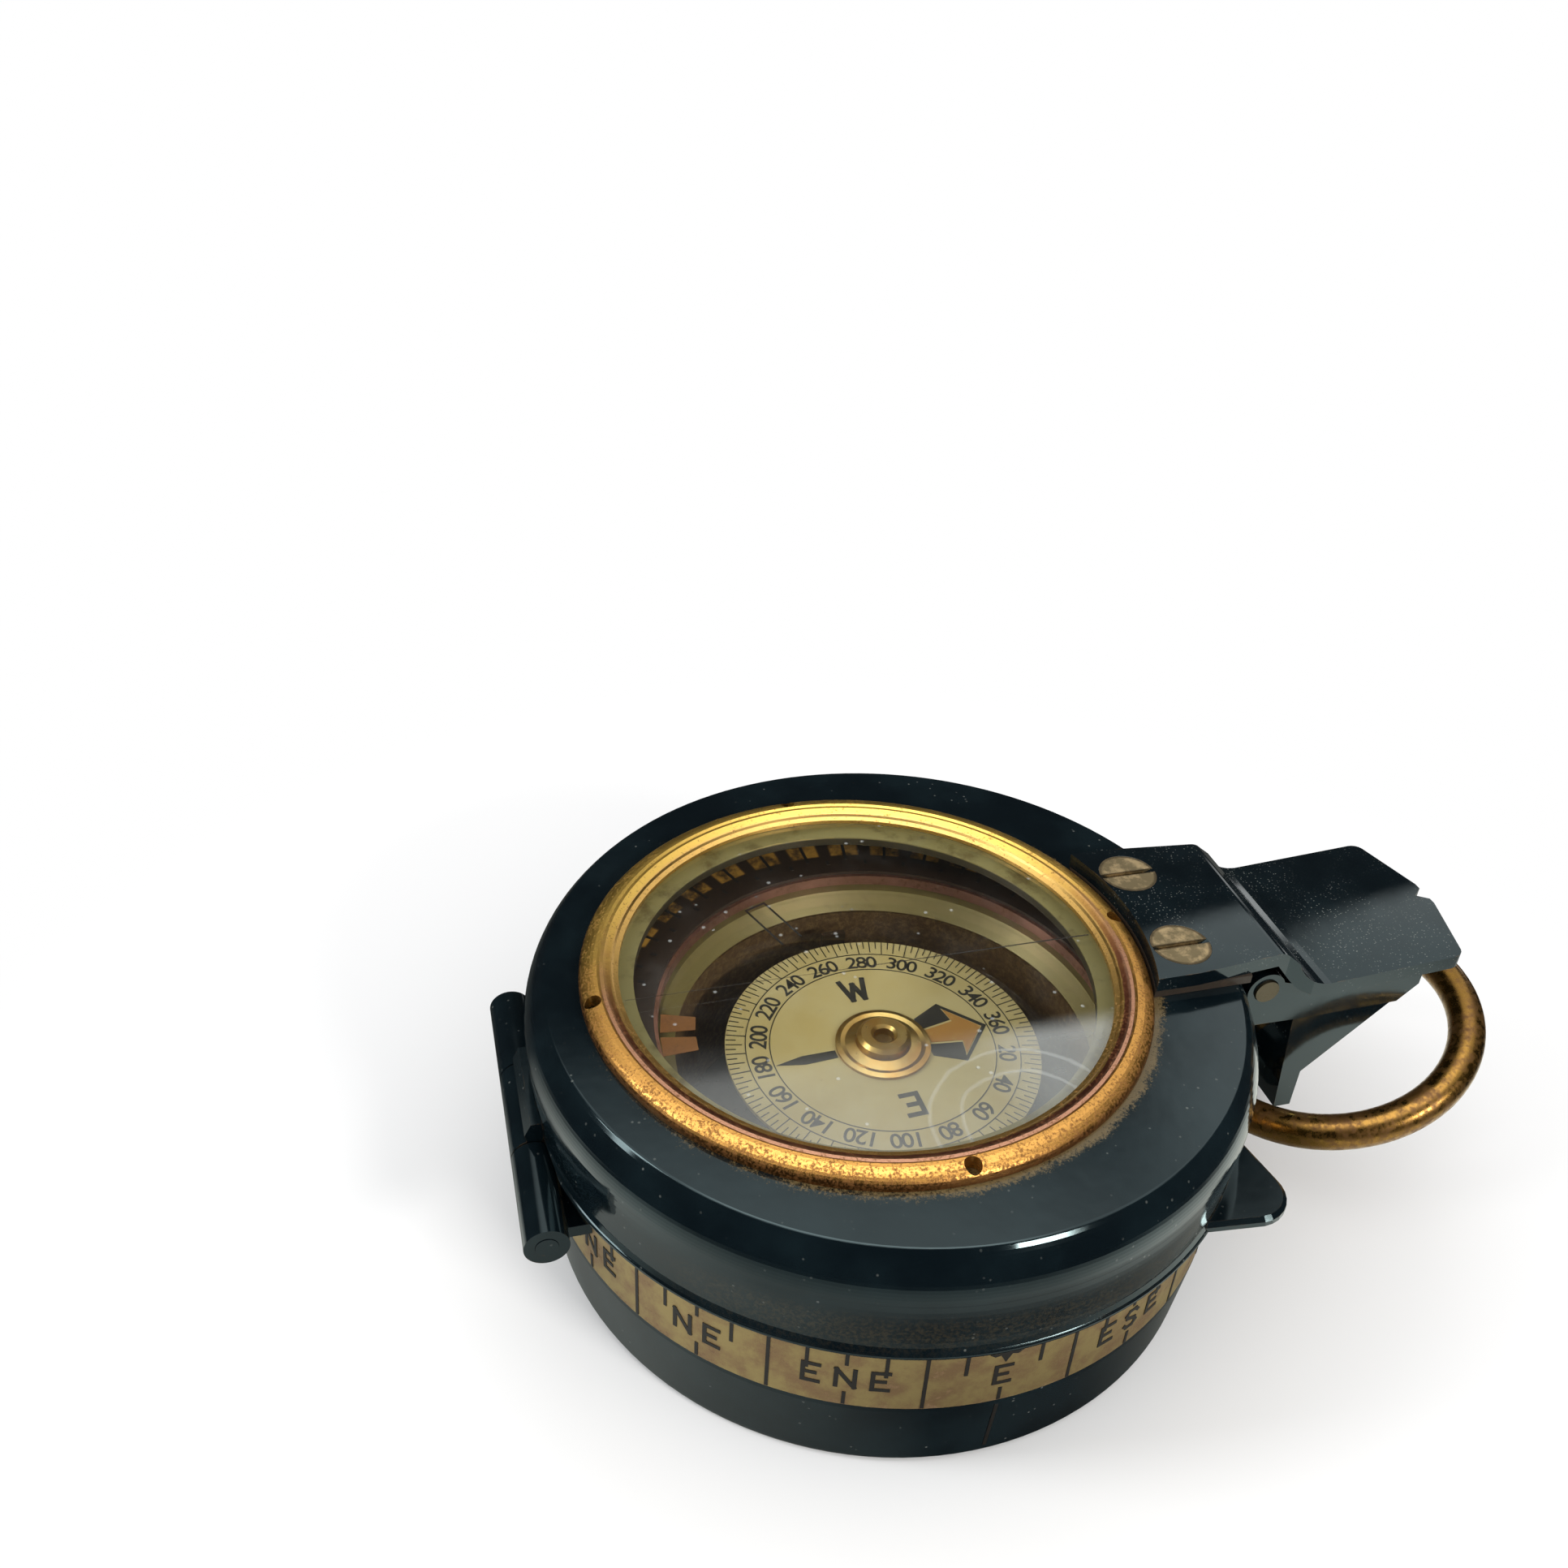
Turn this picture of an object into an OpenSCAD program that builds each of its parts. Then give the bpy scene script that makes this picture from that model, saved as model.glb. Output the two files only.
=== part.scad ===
// Dry prismatic marching compass: brass case, hinged lid with a window, and a folding prism box.
// The origin is the centre of the base, +X points at the prism, +Z is up, and the lid is shut.

/* [Case] */
// Outer radius of the case at its shoulder
case_r = 26.6; // [25:0.1:30]
// How much smaller the case is at its base
case_taper = 0.55; // [0.2:0.05:1.2]
// Radius of the rounded lower edge
base_round = 0.9; // [0.4:0.1:1.3]
// Height of the shoulder that the scale band stands on
shoulder_z = 7.2; // [6.8:0.1:8.5]
// Thickness of the case wall behind the scale band
case_wall = 2; // [1.6:0.1:2.6]
// Thickness of the case floor
floor_t = 1.5; // [1:0.1:2]

/* [Scale band] */
// Height of the scale band
band_h = 5.9; // [5.2:0.1:6.6]
// Thickness of the scale band
band_t = 0.6; // [0.4:0.05:0.9]
// Height of the letters on the band
letter_h = 1.75; // [1.2:0.05:2.4]
// Turn of the band from letter to letter, in degrees
letter_turn = 4.95; // [3.2:0.05:5.6]
// Height of the middle of the letters over the band's lower edge
letter_mid = 2.85; // [2.4:0.05:3.2]
// Width of the strokes of letters and ticks
stroke_w = 0.26; // [0.15:0.01:0.4]

/* [Lid] */
// How far the lid wall stands out past the case
lid_over = 0.9; // [0.7:0.05:1.4]
// Gap between the case's rim and the lid's lower edge
lid_gap = 0.4; // [0.3:0.05:0.6]
// Thickness of the lid wall
lid_wall = 1.2; // [0.8:0.05:1.4]
// Height of the lid, from its lower edge to its flat top
lid_h = 9.2; // [8.8:0.1:11]
// Thickness of the lid's roof
roof_t = 1.2; // [0.9:0.05:1.5]
// Radius of the rounded upper edge of the lid
lid_round = 1.6; // [1:0.1:2.2]
// Width of the thumb lift where it joins the lid
lift_w = 9.8; // [8:0.1:11]
// How far the window is set from the case's axis, towards the hinge
window_shift = 2.1; // [1:0.05:3]
// Outer radius of the brass window ring
ring_flange_r = 21.3; // [20.8:0.1:22]
// Inner radius of the brass window ring
ring_open_r = 18.4; // [17.8:0.1:18.8]
// Height of the window ring over the lid
ring_rise = 1.1; // [0.6:0.05:1.5]
// Thickness of the lid's window glass
window_t = 1.3; // [0.9:0.1:1.4]
// Inner radius of the seat under the window glass
seat_open_r = 17.3; // [16.4:0.1:17.8]

/* [Setting ring] */
// Height of the setting ring over the case rim
setting_h = 4.1; // [3.8:0.1:4.6]
// How far the setting ring stands in from the case's outside
setting_inset = 1; // [0.8:0.05:1.4]
// Radius of the opening over the dial
dial_open_r = 17.6; // [17:0.1:18]
// Distance of the annular scale's edge from the setting ring's outside
plate_inset = 2.1; // [1.8:0.1:3]
// Thickness of the dial glass
dial_glass_t = 1.2; // [0.8:0.1:1.4]
// Number of teeth on the milled rim
milled_count = 96; // [60:1:120]

/* [Card] */
// Radius of the compass card
card_r = 12.4; // [11.5:0.1:13]
// Thickness of the compass card
card_t = 0.3; // [0.2:0.05:0.5]
// Turn of the card, from its north mark to the prism
card_turn = 2.7; // [-20:0.1:20]
// Radius of the brass cap's flange
cap_r = 3.75; // [3:0.05:4.5]
// Height of the cap over the card
cap_h = 1.25; // [1:0.05:1.5]
// Length of each magnet bar
magnet_l = 16; // [10:0.5:18]

/* [Bowl] */
// Inner radius of the bowl round the card
bowl_r = 16.3; // [15.6:0.1:16.8]
// Thickness of the bowl wall
bowl_t = 0.6; // [0.4:0.05:0.8]

/* [Hinge] */
// Distance of the hinge axis outside the case
hinge_out = 1.2; // [1:0.05:1.6]
// Depth of the hinge axis under the case rim
hinge_drop = 0.4; // [0.2:0.05:0.6]
// Radius of the hinge knuckles
knuckle_r = 1.6; // [1.4:0.05:1.8]
// Whole length of the hinge
hinge_l = 24.4; // [20:0.2:28]
// Length of the lid's middle knuckle
mid_knuckle_l = 8; // [6:0.2:9]
// Radius of the hinge pin
hinge_pin_r = 0.8; // [0.6:0.05:0.9]

/* [Guard tab] */
// Width of the guard tab over the prism
guard_w = 15; // [13:0.2:18]
// Width of the guard tab where it lies on the lid
guard_root_w = 15.6; // [15:0.2:18]
// Width of the guard tab at its step
guard_waist_w = 14.1; // [13:0.1:15]
// Thickness of the guard tab
guard_t = 1.2; // [0.9:0.05:1.5]
// Thickness of the packing plate under the guard tab
packing_t = 0.7; // [0.4:0.05:1]
// How far the guard tab steps down over the prism box
tab_drop = 3.5; // [3:0.1:3.8]
// Reach of the guard tab past the prism box
guard_over = 3.2; // [2.4:0.1:5]
// Spacing of the two guard screws
screw_pitch = 9; // [8:0.1:10]
// Radius of the heads of the guard screws
screw_head_r = 2.3; // [1.6:0.1:2.6]

/* [Prism box] */
// Width of the prism box
box_w = 11.6; // [10.5:0.1:12.5]
// Distance of the prism's pivot outside the case
pivot_out = 2.5; // [2.4:0.05:3.4]
// Radius of the prism's pivot pin
pivot_pin_r = 1; // [0.7:0.05:1.1]
// Length of the box along the view line
box_l = 14.4; // [13.5:0.1:15]
// Height of the sighting leg under the box's bevel
leg_h = 3.8; // [3:0.1:4.2]
// Height of the straight nose at the outer end of the box
nose_h = 1.8; // [1.4:0.1:2.4]

/* [Carrying ring] */
// Radius of the carrying ring, to the middle of its wire
carry_r = 11.55; // [11:0.05:13]
// Radius of the ring's wire
wire_r = 1.45; // [1.1:0.05:1.5]
// Upward tilt of the ring at rest
carry_tilt = 19.5; // [5:0.5:25]
// Thickness of the bracket's foot on the case
foot_t = 1; // [0.8:0.05:1.2]

/* [Check button] */
// Radius of the check button's head
button_r = 2; // [1.6:0.1:2.4]
// Radius of the check button's stem
stem_r = 1.2; // [0.9:0.05:1.3]
// Travel of the check button
button_travel = 0.9; // [0.5:0.1:1]

/* [Hidden] */
$fn = 96;
run_gap = 0.06; // radial clearance of a running fit
seat_gap = 0.02; // radial clearance of a seated piece
clear = 0.3; // gap between pieces that move past each other
mark_t = 0.04; // height of engraved and filled marks

// Levels and radii of the case
wall_r = case_r - band_t - seat_gap;
bore_r = wall_r - case_wall;
rim_z = shoulder_z + band_h;
base_r = case_r - case_taper;

// Levels and radii of the lid
lid_r = case_r + lid_over;
lid_z = rim_z + lid_gap;
lid_top = lid_z + lid_h;
roof_z = lid_top - roof_t;
skirt_t = 0.45;
window_hole_r = ring_flange_r - 1.6;
glass_bore_r = window_hole_r - seat_gap - skirt_t;
window_r = glass_bore_r - seat_gap;
seat_t = 0.8;

// Levels and radii of the setting ring
setting_z = rim_z + 0.1;
setting_top = rim_z + setting_h;
setting_r = case_r - setting_inset;
plate_r = setting_r - plate_inset;
tooth = 0.25;
core_r = setting_r - tooth - 0.45;
plate_t = 0.3;
plate_z = setting_top - plate_t - 0.1;
lip_t = 0.9;
glass_top = plate_z - lip_t;
glass_z = glass_top - dial_glass_t;
dial_glass_r = dial_open_r + 1.05;
hub_r = dial_glass_r + seat_gap + 1.4;
cone_t = 1.3;
cone_z = glass_z - cone_t;
skirt_r = bore_r - run_gap;
skirt_in = skirt_r - 1;
skirt_z = setting_z - 2.5;
wire_z = skirt_z + 0.95;
keeper_h = 0.5;
keeper_in = skirt_r - 0.4;
keeper_out = bore_r + 0.4;

// Levels of the card, the cap and the needle
cap_top = glass_z - 0.35;
card_top = cap_top - cap_h;
card_z = card_top - card_t;
cap_flange_t = 0.35;
boss_r = 2.1;
boss_hole_r = 0.8;
jewel_r = 1.2;
jewel_z = card_z - 0.1;
jewel_t = 0.8;
tip_z = jewel_z + 0.45;
magnet_w = 1.2;
magnet_y = 4.5;
post_r = 1.8;
post_top = card_z - 3.6;
needle_r = 0.35;
liner_top = cone_z - 0.2;
liner_foot_r = bowl_r + bowl_t + 2.8;
liner_screw_r = 0.6;
liner_screw_l = 0.9;

// Places of the lid hinge
hinge_x = case_r + hinge_out;
hinge_z = rim_z - hinge_drop;
knuckle_gap = 0.12;
hinge_relief = knuckle_r + clear;
leaf_t = 1;

// Places of the guard tab
pivot_x = case_r + pivot_out;
pivot_z = lid_top - 3;
ear_r = 1.6;
packing_z = lid_top + seat_gap;
tab_z = packing_z + packing_t + seat_gap;
tab_top = tab_z + guard_t;
tab_low = tab_top - tab_drop;
guard_reach = pivot_x + box_l + guard_over;
step_x = pivot_x + 0.2;
tab_inner_r = ring_flange_r + 0.1;
tab_in = tab_inner_r - window_shift - 5.3;
packing_end = lid_r - 0.5;
screw_x = sqrt(pow(tab_inner_r, 2) - pow(screw_pitch / 2, 2)) - window_shift + screw_head_r + 0.18;
screw_r = 0.9;
head_t = 0.75;

// Places of the prism box and its bracket
ear_t = 2.3;
box_top = pivot_z - 0.1;
box_end = pivot_x + box_l;
box_in = pivot_x + 3.6;
bevel_k = box_end - (box_top - nose_h);
leg_out = box_in + 2.4;
bevel_low = leg_out - bevel_k;
leg_z = bevel_low - leg_h;
leg_in = leg_out - 1.5;
cheek = 1.1;
prism_w = box_w - 2 * cheek;
prism_top = box_top - 0.7;
prism_in = box_in + 0.95;
prism_k = bevel_k - 1.5;
eye_z = box_top - 6.2;
eye_r = 2;
eye_t = 0.7;
slot_w = 0.9;
bracket_w = box_w - 2 * ear_t - 2 * knuckle_gap;
bracket_in = lid_r + 0.25;
bracket_t = 0.9;
foot_z = 2.2;
foot_w = 9;
foot_top = shoulder_z - 0.3;
foot_r = case_r + foot_t;
band_clear_r = case_r + mark_t + seat_gap;
foot_screw_r = 0.7;
foot_screw_l = 2.5;

// Places of the carrying ring, its lug and the bracket's knee over the lug
lug_x = foot_r + wire_r + 0.65;
lug_z = foot_top - 1.9;
lug_w = 2.8;
lug_bore_r = wire_r + 0.2;
lug_r = lug_bore_r + 0.9;
knee_z = lug_z + lug_r + 0.15;
knee_h = 1.3;

// Places of the check button
button_z = floor_t + 2.7;
bush_r = stem_r + 1.1;
bush_flange_t = 0.6;
bush_out = case_r + bush_flange_t;
collar_y = bowl_r + bowl_t + 3.7;
finger_t = 0.5;
finger_y = card_r + clear + button_travel;

lacquer = "#22303a";
brass = "#b98a3c";
gold = "#c9a75a";
cream = "#d8cfa2";
ink = "#15130f";
steel = "#8f8b82";
glow = "#c98a3a";

// Points on an oval arc in a plane, from angle a0 to a1
function oval(cx, cy, rx, ry, a0, a1, n = 6) =
    [for (i = [0:n]) let (a = a0 + (a1 - a0) * i / n) [cx + rx * cos(a), cy + ry * sin(a)]];

function arc(cx, cy, r, a0, a1, n = 6) = oval(cx, cy, r, r, a0, a1, n);

// A ring of rectangular section about the z axis
module tube(r0, r1, z0, z1) {
    translate([0, 0, z0])
        difference() {
            cylinder(r = r1, h = z1 - z0);
            translate([0, 0, -1]) cylinder(r = r0, h = z1 - z0 + 2);
        }
}

// A cylinder along y, centred on y = 0
module along_y(r, l, x, z) {
    translate([x, 0, z]) rotate([90, 0, 0]) cylinder(r = r, h = l, center = true);
}

// A side outline in x and z, extruded by w about y = 0
module side_plate(points, w) {
    rotate([90, 0, 0])
        linear_extrude(height = w, center = true) polygon(points);
}

// Cuts room for the hinge's knuckles, with the moving clearance
module hinge_relief_cut(l) {
    along_y(hinge_relief, l, -hinge_x, hinge_z);
}

// One straight stroke of a letter between two points
module stroke(a, b, w) {
    d = b - a;
    translate(a) rotate(atan2(d[1], d[0])) translate([-w / 2, -w / 2]) square([norm(d) + w, w]);
}

// Plain block letters, drawn in a box 0.7 wide and 1 high
function letter_path(c) =
    c == "N" ? [[0, 0], [0, 1], [0.7, 0], [0.7, 1]] :
    c == "E" ? [[0.6, 1], [0, 1], [0, 0.5], [0.45, 0.5], [0, 0.5], [0, 0], [0.6, 0]] :
    c == "W" ? [[0, 1], [0.22, 0], [0.45, 0.8], [0.68, 0], [0.9, 1]] :
    [[0.6, 0.85], [0.45, 1], [0.15, 1], [0, 0.8], [0.1, 0.58], [0.5, 0.42], [0.6, 0.2], [0.45, 0], [0.15, 0],
        [0, 0.15]];

function letter_width(c) = c == "W" ? 0.9 : c == "N" ? 0.7 : 0.6;

module letter(c, h, w) {
    p = letter_path(c);
    translate([-letter_width(c) * h / 2, 0])
        for (i = [1:len(p) - 1]) stroke(p[i - 1] * h, p[i] * h, w);
}

// Angles of the sixteen points of the band, counted from north at the hinge
POINT_NAMES = ["N", "NNE", "NE", "ENE", "E", "ESE", "SE", "SSE", "S", "SSW", "SW", "WSW", "W", "WNW", "NW",
    "NNW"];

// Puts flat marks on the outside of the band at an angle and a height
module on_band(angle, z) {
    rotate([0, 0, angle]) translate([case_r, 0, z]) rotate([90, 0, 90])
        linear_extrude(height = mark_t) children();
}

module case_shell() {
    r1 = base_round;
    color(lacquer)
    difference() {
        rotate_extrude()
            polygon(concat([[0, 0]], arc(base_r - r1, r1, r1, -90, 0),
                [[case_r, shoulder_z - 0.4], [case_r, shoulder_z], [wall_r, shoulder_z], [wall_r, rim_z],
                [bore_r, rim_z], [bore_r, floor_t], [0, floor_t]]));
        tube(bore_r - 1, keeper_out, wire_z - seat_gap, wire_z + keeper_h + seat_gap);
        hinge_relief_cut(hinge_l + 1);
        button_bore(bush_r + seat_gap);
        at_bracket_screws() cylinder(r = foot_screw_r + seat_gap, h = 2 * foot_screw_l + 0.1, center = true);
        at_liner_screws() cylinder(r = liner_screw_r + seat_gap, h = 2 * liner_screw_l + 0.1, center = true);
    }
}

// The radial hole for the check button, through the back of the case
module button_bore(r) {
    translate([0, bore_r - 1, button_z]) rotate([-90, 0, 0]) cylinder(r = r, h = case_r - bore_r + 3);
}

module scale_band() {
    color(gold)
    difference() {
        tube(wall_r + seat_gap, case_r, shoulder_z, rim_z);
        hinge_relief_cut(hinge_l + 1);
    }
}

module band_marks() {
    step = 360 / len(POINT_NAMES);
    mid = shoulder_z + letter_mid;
    side_tick = 2.3;
    mid_tick = 1.4;
    low_tick = 1.3;
    bold_w = 1.2 * stroke_w;
    color(ink)
    for (i = [0:len(POINT_NAMES) - 1]) {
        a = 180 + i * step;
        name = POINT_NAMES[i];
        on_band(a + step / 2, shoulder_z) translate([-stroke_w / 2, 0.1]) square([stroke_w, band_h - 0.2]);
        if (i != 0) {
            for (k = [0:len(name) - 1]) {
                off = (k - (len(name) - 1) / 2) * letter_turn;
                on_band(a + off, mid - letter_h / 2) letter(name[k], letter_h, bold_w);
            }
            on_band(a, shoulder_z) translate([-stroke_w / 2, 0.1]) square([stroke_w, low_tick]);
            for (s = name == "E" ? [-1, 1] : [-1, 0, 1]) {
                tick = s == 0 ? mid_tick : side_tick;
                on_band(a + s * step / 4, rim_z - 0.3)
                    translate([-stroke_w / 2, -tick]) square([stroke_w, tick]);
            }
        }
    }
}

// The east index: a line on the lower wall and a small arrowhead at the top of the band
module index_line() {
    z0 = base_round + 0.3;
    lean = atan2(case_taper, shoulder_z - base_round - 0.4);
    wall_at = base_r + case_taper * (z0 - base_round) / (shoulder_z - base_round - 0.4);
    color(ink) {
        rotate([0, 0, -90]) translate([wall_at, 0, z0]) rotate([0, lean, 0])
            translate([0, -stroke_w / 2, 0]) cube([mark_t, stroke_w, shoulder_z - 0.5 - z0]);
        on_band(-90, rim_z - 0.7)
            polygon([[-1.2, 0], [-0.8, -0.35], [-0.4, -0.25], [0, -1.05],
                [0.4, -0.25], [0.8, -0.35], [1.2, 0]]);
    }
}

module bowl_liner() {
    r2 = bowl_r + bowl_t;
    color("#6e5430")
    difference() {
        union() {
            tube(bowl_r, r2, floor_t, liner_top);
            tube(r2 - 0.1, liner_foot_r, floor_t, floor_t + bowl_t);
        }
        translate([0, 0, button_z]) rotate([-90, 0, 0]) cylinder(r = stem_r + clear, h = case_r);
        at_liner_screws() cylinder(r = liner_screw_r + seat_gap, h = 6, center = true);
    }
}

module at_liner_screws() {
    for (a = [30, 150, 270])
        rotate([0, 0, a]) translate([bowl_r + bowl_t + 1.4, 0, floor_t]) children();
}

module liner_screws() {
    color(steel)
    at_liner_screws()
        difference() {
            union() {
                translate([0, 0, -liner_screw_l]) cylinder(r = liner_screw_r, h = liner_screw_l + bowl_t);
                translate([0, 0, bowl_t]) cylinder(r = liner_screw_r + 0.5, h = 0.6);
            }
            translate([-1.2, -0.15, bowl_t + 0.35]) cube([2.4, 0.3, 1]);
        }
}

module keeper_wire() {
    color(steel)
    difference() {
        tube(keeper_in, keeper_out - seat_gap, wire_z, wire_z + keeper_h);
        rotate([0, 0, 40]) translate([bore_r - 2, -0.6, wire_z - 1]) cube([4, 1.2, 3]);
    }
}

module pivot_post() {
    color(brass)
    difference() {
        rotate_extrude()
            polygon([[0, floor_t], [3.4, floor_t], [3.4, floor_t + 0.8], [post_r, floor_t + 1.3],
                [post_r, post_top - 0.6], [post_r - 0.6, post_top], [0, post_top]]);
        translate([0, 0, post_top - 2]) cylinder(r = needle_r + seat_gap, h = 3);
    }
}

module pivot_needle() {
    color(steel)
    rotate_extrude()
        polygon([[0, post_top - 2], [needle_r, post_top - 2], [needle_r, tip_z - 1.6],
            [0.04, tip_z], [0, tip_z]]);
}

// Outline of one knuckle of the lid hinge with its bore
module knuckle(y0, y1) {
    translate([0, (y0 + y1) / 2, 0]) along_y(knuckle_r, y1 - y0, -hinge_x, hinge_z);
}

// The case's two outer knuckles on a plate that is soldered to the case
module case_hinge_leaf() {
    half = hinge_l / 2;
    leaf_end = half - 1.8;
    in = mid_knuckle_l / 2 + knuckle_gap;
    color(lacquer)
    difference() {
        union() {
            for (s = [-1, 1]) {
                knuckle(min(s * in, s * half), max(s * in, s * half));
                translate([-hinge_x, s > 0 ? in : -leaf_end, hinge_z - knuckle_r])
                    cube([hinge_x / 2, leaf_end - in, leaf_t]);
            }
        }
        along_y(hinge_pin_r + seat_gap, hinge_l + 2, -hinge_x, hinge_z);
        cylinder(r = case_r + seat_gap, h = 60);
    }
}

module hinge_pin() {
    color(steel) along_y(hinge_pin_r, hinge_l + 0.1, -hinge_x, hinge_z);
}

// The post that carries the prism: a foot on the case, a knee out over the lug, and an eye at the top
module prism_bracket() {
    out = bracket_in + bracket_t;
    knee_top = knee_z + knee_h;
    color(lacquer)
    difference() {
        union() {
            intersection() {
                translate([0, -foot_w / 2, foot_z]) cube([out, foot_w, foot_top - foot_z]);
                cylinder(r = foot_r, h = foot_top);
            }
            intersection() {
                translate([0, -bracket_w / 2, foot_z]) cube([out, bracket_w, knee_top - foot_z]);
                cylinder(r = foot_r, h = knee_top);
            }
            translate([bracket_in - 2, -bracket_w / 2, knee_z]) cube([bracket_t + 2, bracket_w, knee_h]);
            translate([bracket_in, -bracket_w / 2, knee_z]) cube([bracket_t, bracket_w, pivot_z - knee_z]);
            along_y(ear_r, bracket_w, pivot_x, pivot_z);
            translate([bracket_in, -bracket_w / 2, pivot_z - 2])
                cube([pivot_x - bracket_in, bracket_w, 2]);
        }
        rotate_extrude() polygon([[0, -1], [base_r + seat_gap, -1], [base_r + seat_gap, base_round],
            [case_r + seat_gap, shoulder_z - 0.4], [band_clear_r, shoulder_z], [band_clear_r, rim_z],
            [0, rim_z]]);
        along_y(pivot_pin_r + seat_gap, bracket_w + 2, pivot_x, pivot_z);
        at_bracket_screws() cylinder(r = foot_screw_r + seat_gap, h = 2 * foot_screw_l, center = true);
    }
}

// The two screw places on the bracket's foot, pointing outward
module at_bracket_screws() {
    lean = asin((foot_w / 2 - 1.4) / foot_r);
    for (s = [-1, 1])
        rotate([0, 0, s * lean]) translate([foot_r, 0, (foot_z + foot_top) / 2])
            rotate([0, 90, 0]) children();
}

module bracket_screws() {
    head_h = 0.4;
    color(steel)
    at_bracket_screws()
        difference() {
            union() {
                translate([0, 0, -foot_screw_l]) cylinder(r = foot_screw_r, h = foot_screw_l);
                cylinder(r = foot_screw_r + 0.5, h = head_h);
            }
            translate([-0.15, -2, head_h - 0.2]) cube([0.3, 4, 1]);
        }
}

module ring_lug() {
    color(lacquer)
    difference() {
        union() {
            along_y(lug_r, lug_w, lug_x, lug_z);
            translate([foot_r - 1, -lug_w / 2, lug_z - lug_r]) cube([lug_x - foot_r + 1, lug_w, 2 * lug_r]);
        }
        along_y(lug_bore_r, lug_w + 2, lug_x, lug_z);
        cylinder(r = foot_r, h = lid_top);
    }
}

module button_bush() {
    color(brass)
    difference() {
        translate([0, 0, button_z]) rotate([-90, 0, 0]) {
            translate([0, 0, bore_r + 0.1]) cylinder(r = bush_r, h = bush_out - bore_r - 0.1);
            translate([0, 0, case_r + seat_gap]) cylinder(r = bush_r + 0.5, h = bush_flange_t);
        }
        translate([0, 0, button_z]) rotate([-90, 0, 0]) cylinder(r = stem_r + run_gap, h = bush_out + 2);
    }
}

// Outside of the lid, let out by g: a bead, a hollow wall, and a long roll up to a crease at the flat top
function lid_side(g) =
    let (crease_r = 0.3, crease_a = 45, foot_a = 4, hollow = 0.3,
        roll_r = (lid_round - crease_r * cos(crease_a)) / (1 - cos(crease_a)),
        roll_x = lid_r - roll_r,
        roll_z = lid_top - crease_r - (roll_r - crease_r) * sin(crease_a),
        z0 = lid_z + 1,
        z1 = roll_z - roll_r * sin(foot_a),
        swell = hollow - roll_r * (1 - cos(foot_a)))
    concat([[lid_r - hollow + 0.05 + g, lid_z]], arc(lid_r - hollow + g, lid_z + 0.35, hollow, -60, 60, 6),
        [for (i = [0:8]) let (t = i / 8)
            [lid_r - hollow + swell * t * t * (3 - 2 * t) + g, z0 + (z1 - z0) * t]],
        arc(roll_x, roll_z, roll_r + g, 1 - foot_a, crease_a, 14),
        arc(lid_r - lid_round, lid_top - crease_r, crease_r + g, crease_a, 90, 5));

// The lid as a plug, let out by g, for cutting what sits on its wall
module lid_plug(g) {
    rotate_extrude()
        polygon(concat([[0, 0], [lid_r - 0.3 + g, 0]], lid_side(g), [[0, lid_top + g]]));
}

module lid_shell() {
    w = lid_r - lid_wall;
    color(lacquer)
    difference() {
        rotate_extrude()
            polygon(concat([[w, lid_z]], lid_side(0),
                [[0, lid_top], [0, roof_z], [w - 0.5, roof_z], [w, roof_z - 0.5]]));
        translate([-window_shift, 0, roof_z - 1]) cylinder(r = window_hole_r, h = roof_t + 2);
        for (s = [-1, 1])
            translate([0, s * (hinge_l + mid_knuckle_l) / 4, 0])
                hinge_relief_cut((hinge_l - mid_knuckle_l) / 2 + 2 * knuckle_gap);
        along_y(knuckle_r, mid_knuckle_l + 0.1, -hinge_x, hinge_z);
        at_guard_screws() cylinder(r = screw_r + seat_gap, h = 20, center = true);
    }
}

module window_glass() {
    color([0.8, 0.85, 0.8, 0.35])
    translate([-window_shift, 0, roof_z]) cylinder(r = window_r, h = window_t);
}

// The hair line engraved across the window, filled black
module sight_line() {
    color(ink)
    translate([-window_shift - ring_open_r + 0.2, -0.06, roof_z + window_t])
        cube([2 * ring_open_r - 0.4, 0.12, 0.02]);
}

module glass_seat() {
    color(cream)
    translate([-window_shift, 0, 0]) tube(seat_open_r, window_hole_r + 1, roof_z - seat_t, roof_z);
}

module glass_ring() {
    t = lid_top + seat_gap;
    ridge = ring_flange_r - 1.35;
    hole_turn = 1.8;
    color(brass)
    translate([-window_shift, 0, 0])
    difference() {
        rotate_extrude()
            polygon(concat([[window_hole_r - seat_gap, roof_z + 0.05], [window_hole_r - seat_gap, t],
                [ring_flange_r, t], [ring_flange_r, t + 0.2]],
                oval(ridge, t + 0.2, ring_flange_r - ridge, ring_rise - 0.2, 12, 78),
                [[ridge, t + ring_rise], [ridge - 0.2, t + ring_rise - 0.12],
                [ridge - 0.45, t + ring_rise - 0.1], [ring_open_r + 0.5, t + ring_rise - 0.35],
                [ring_open_r + 0.35, t + ring_rise - 0.5],
                [ring_open_r, t + ring_rise - 0.65], [ring_open_r, roof_z + window_t + 0.05],
                [glass_bore_r, roof_z + window_t + 0.05], [glass_bore_r, roof_z + 0.05]]));
        for (a = [0, 90, 180, 270])
            rotate([0, 0, a + hole_turn]) translate([ridge + 0.6, 0, t - 1]) cylinder(r = 0.6, h = 3);
    }
}

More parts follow.
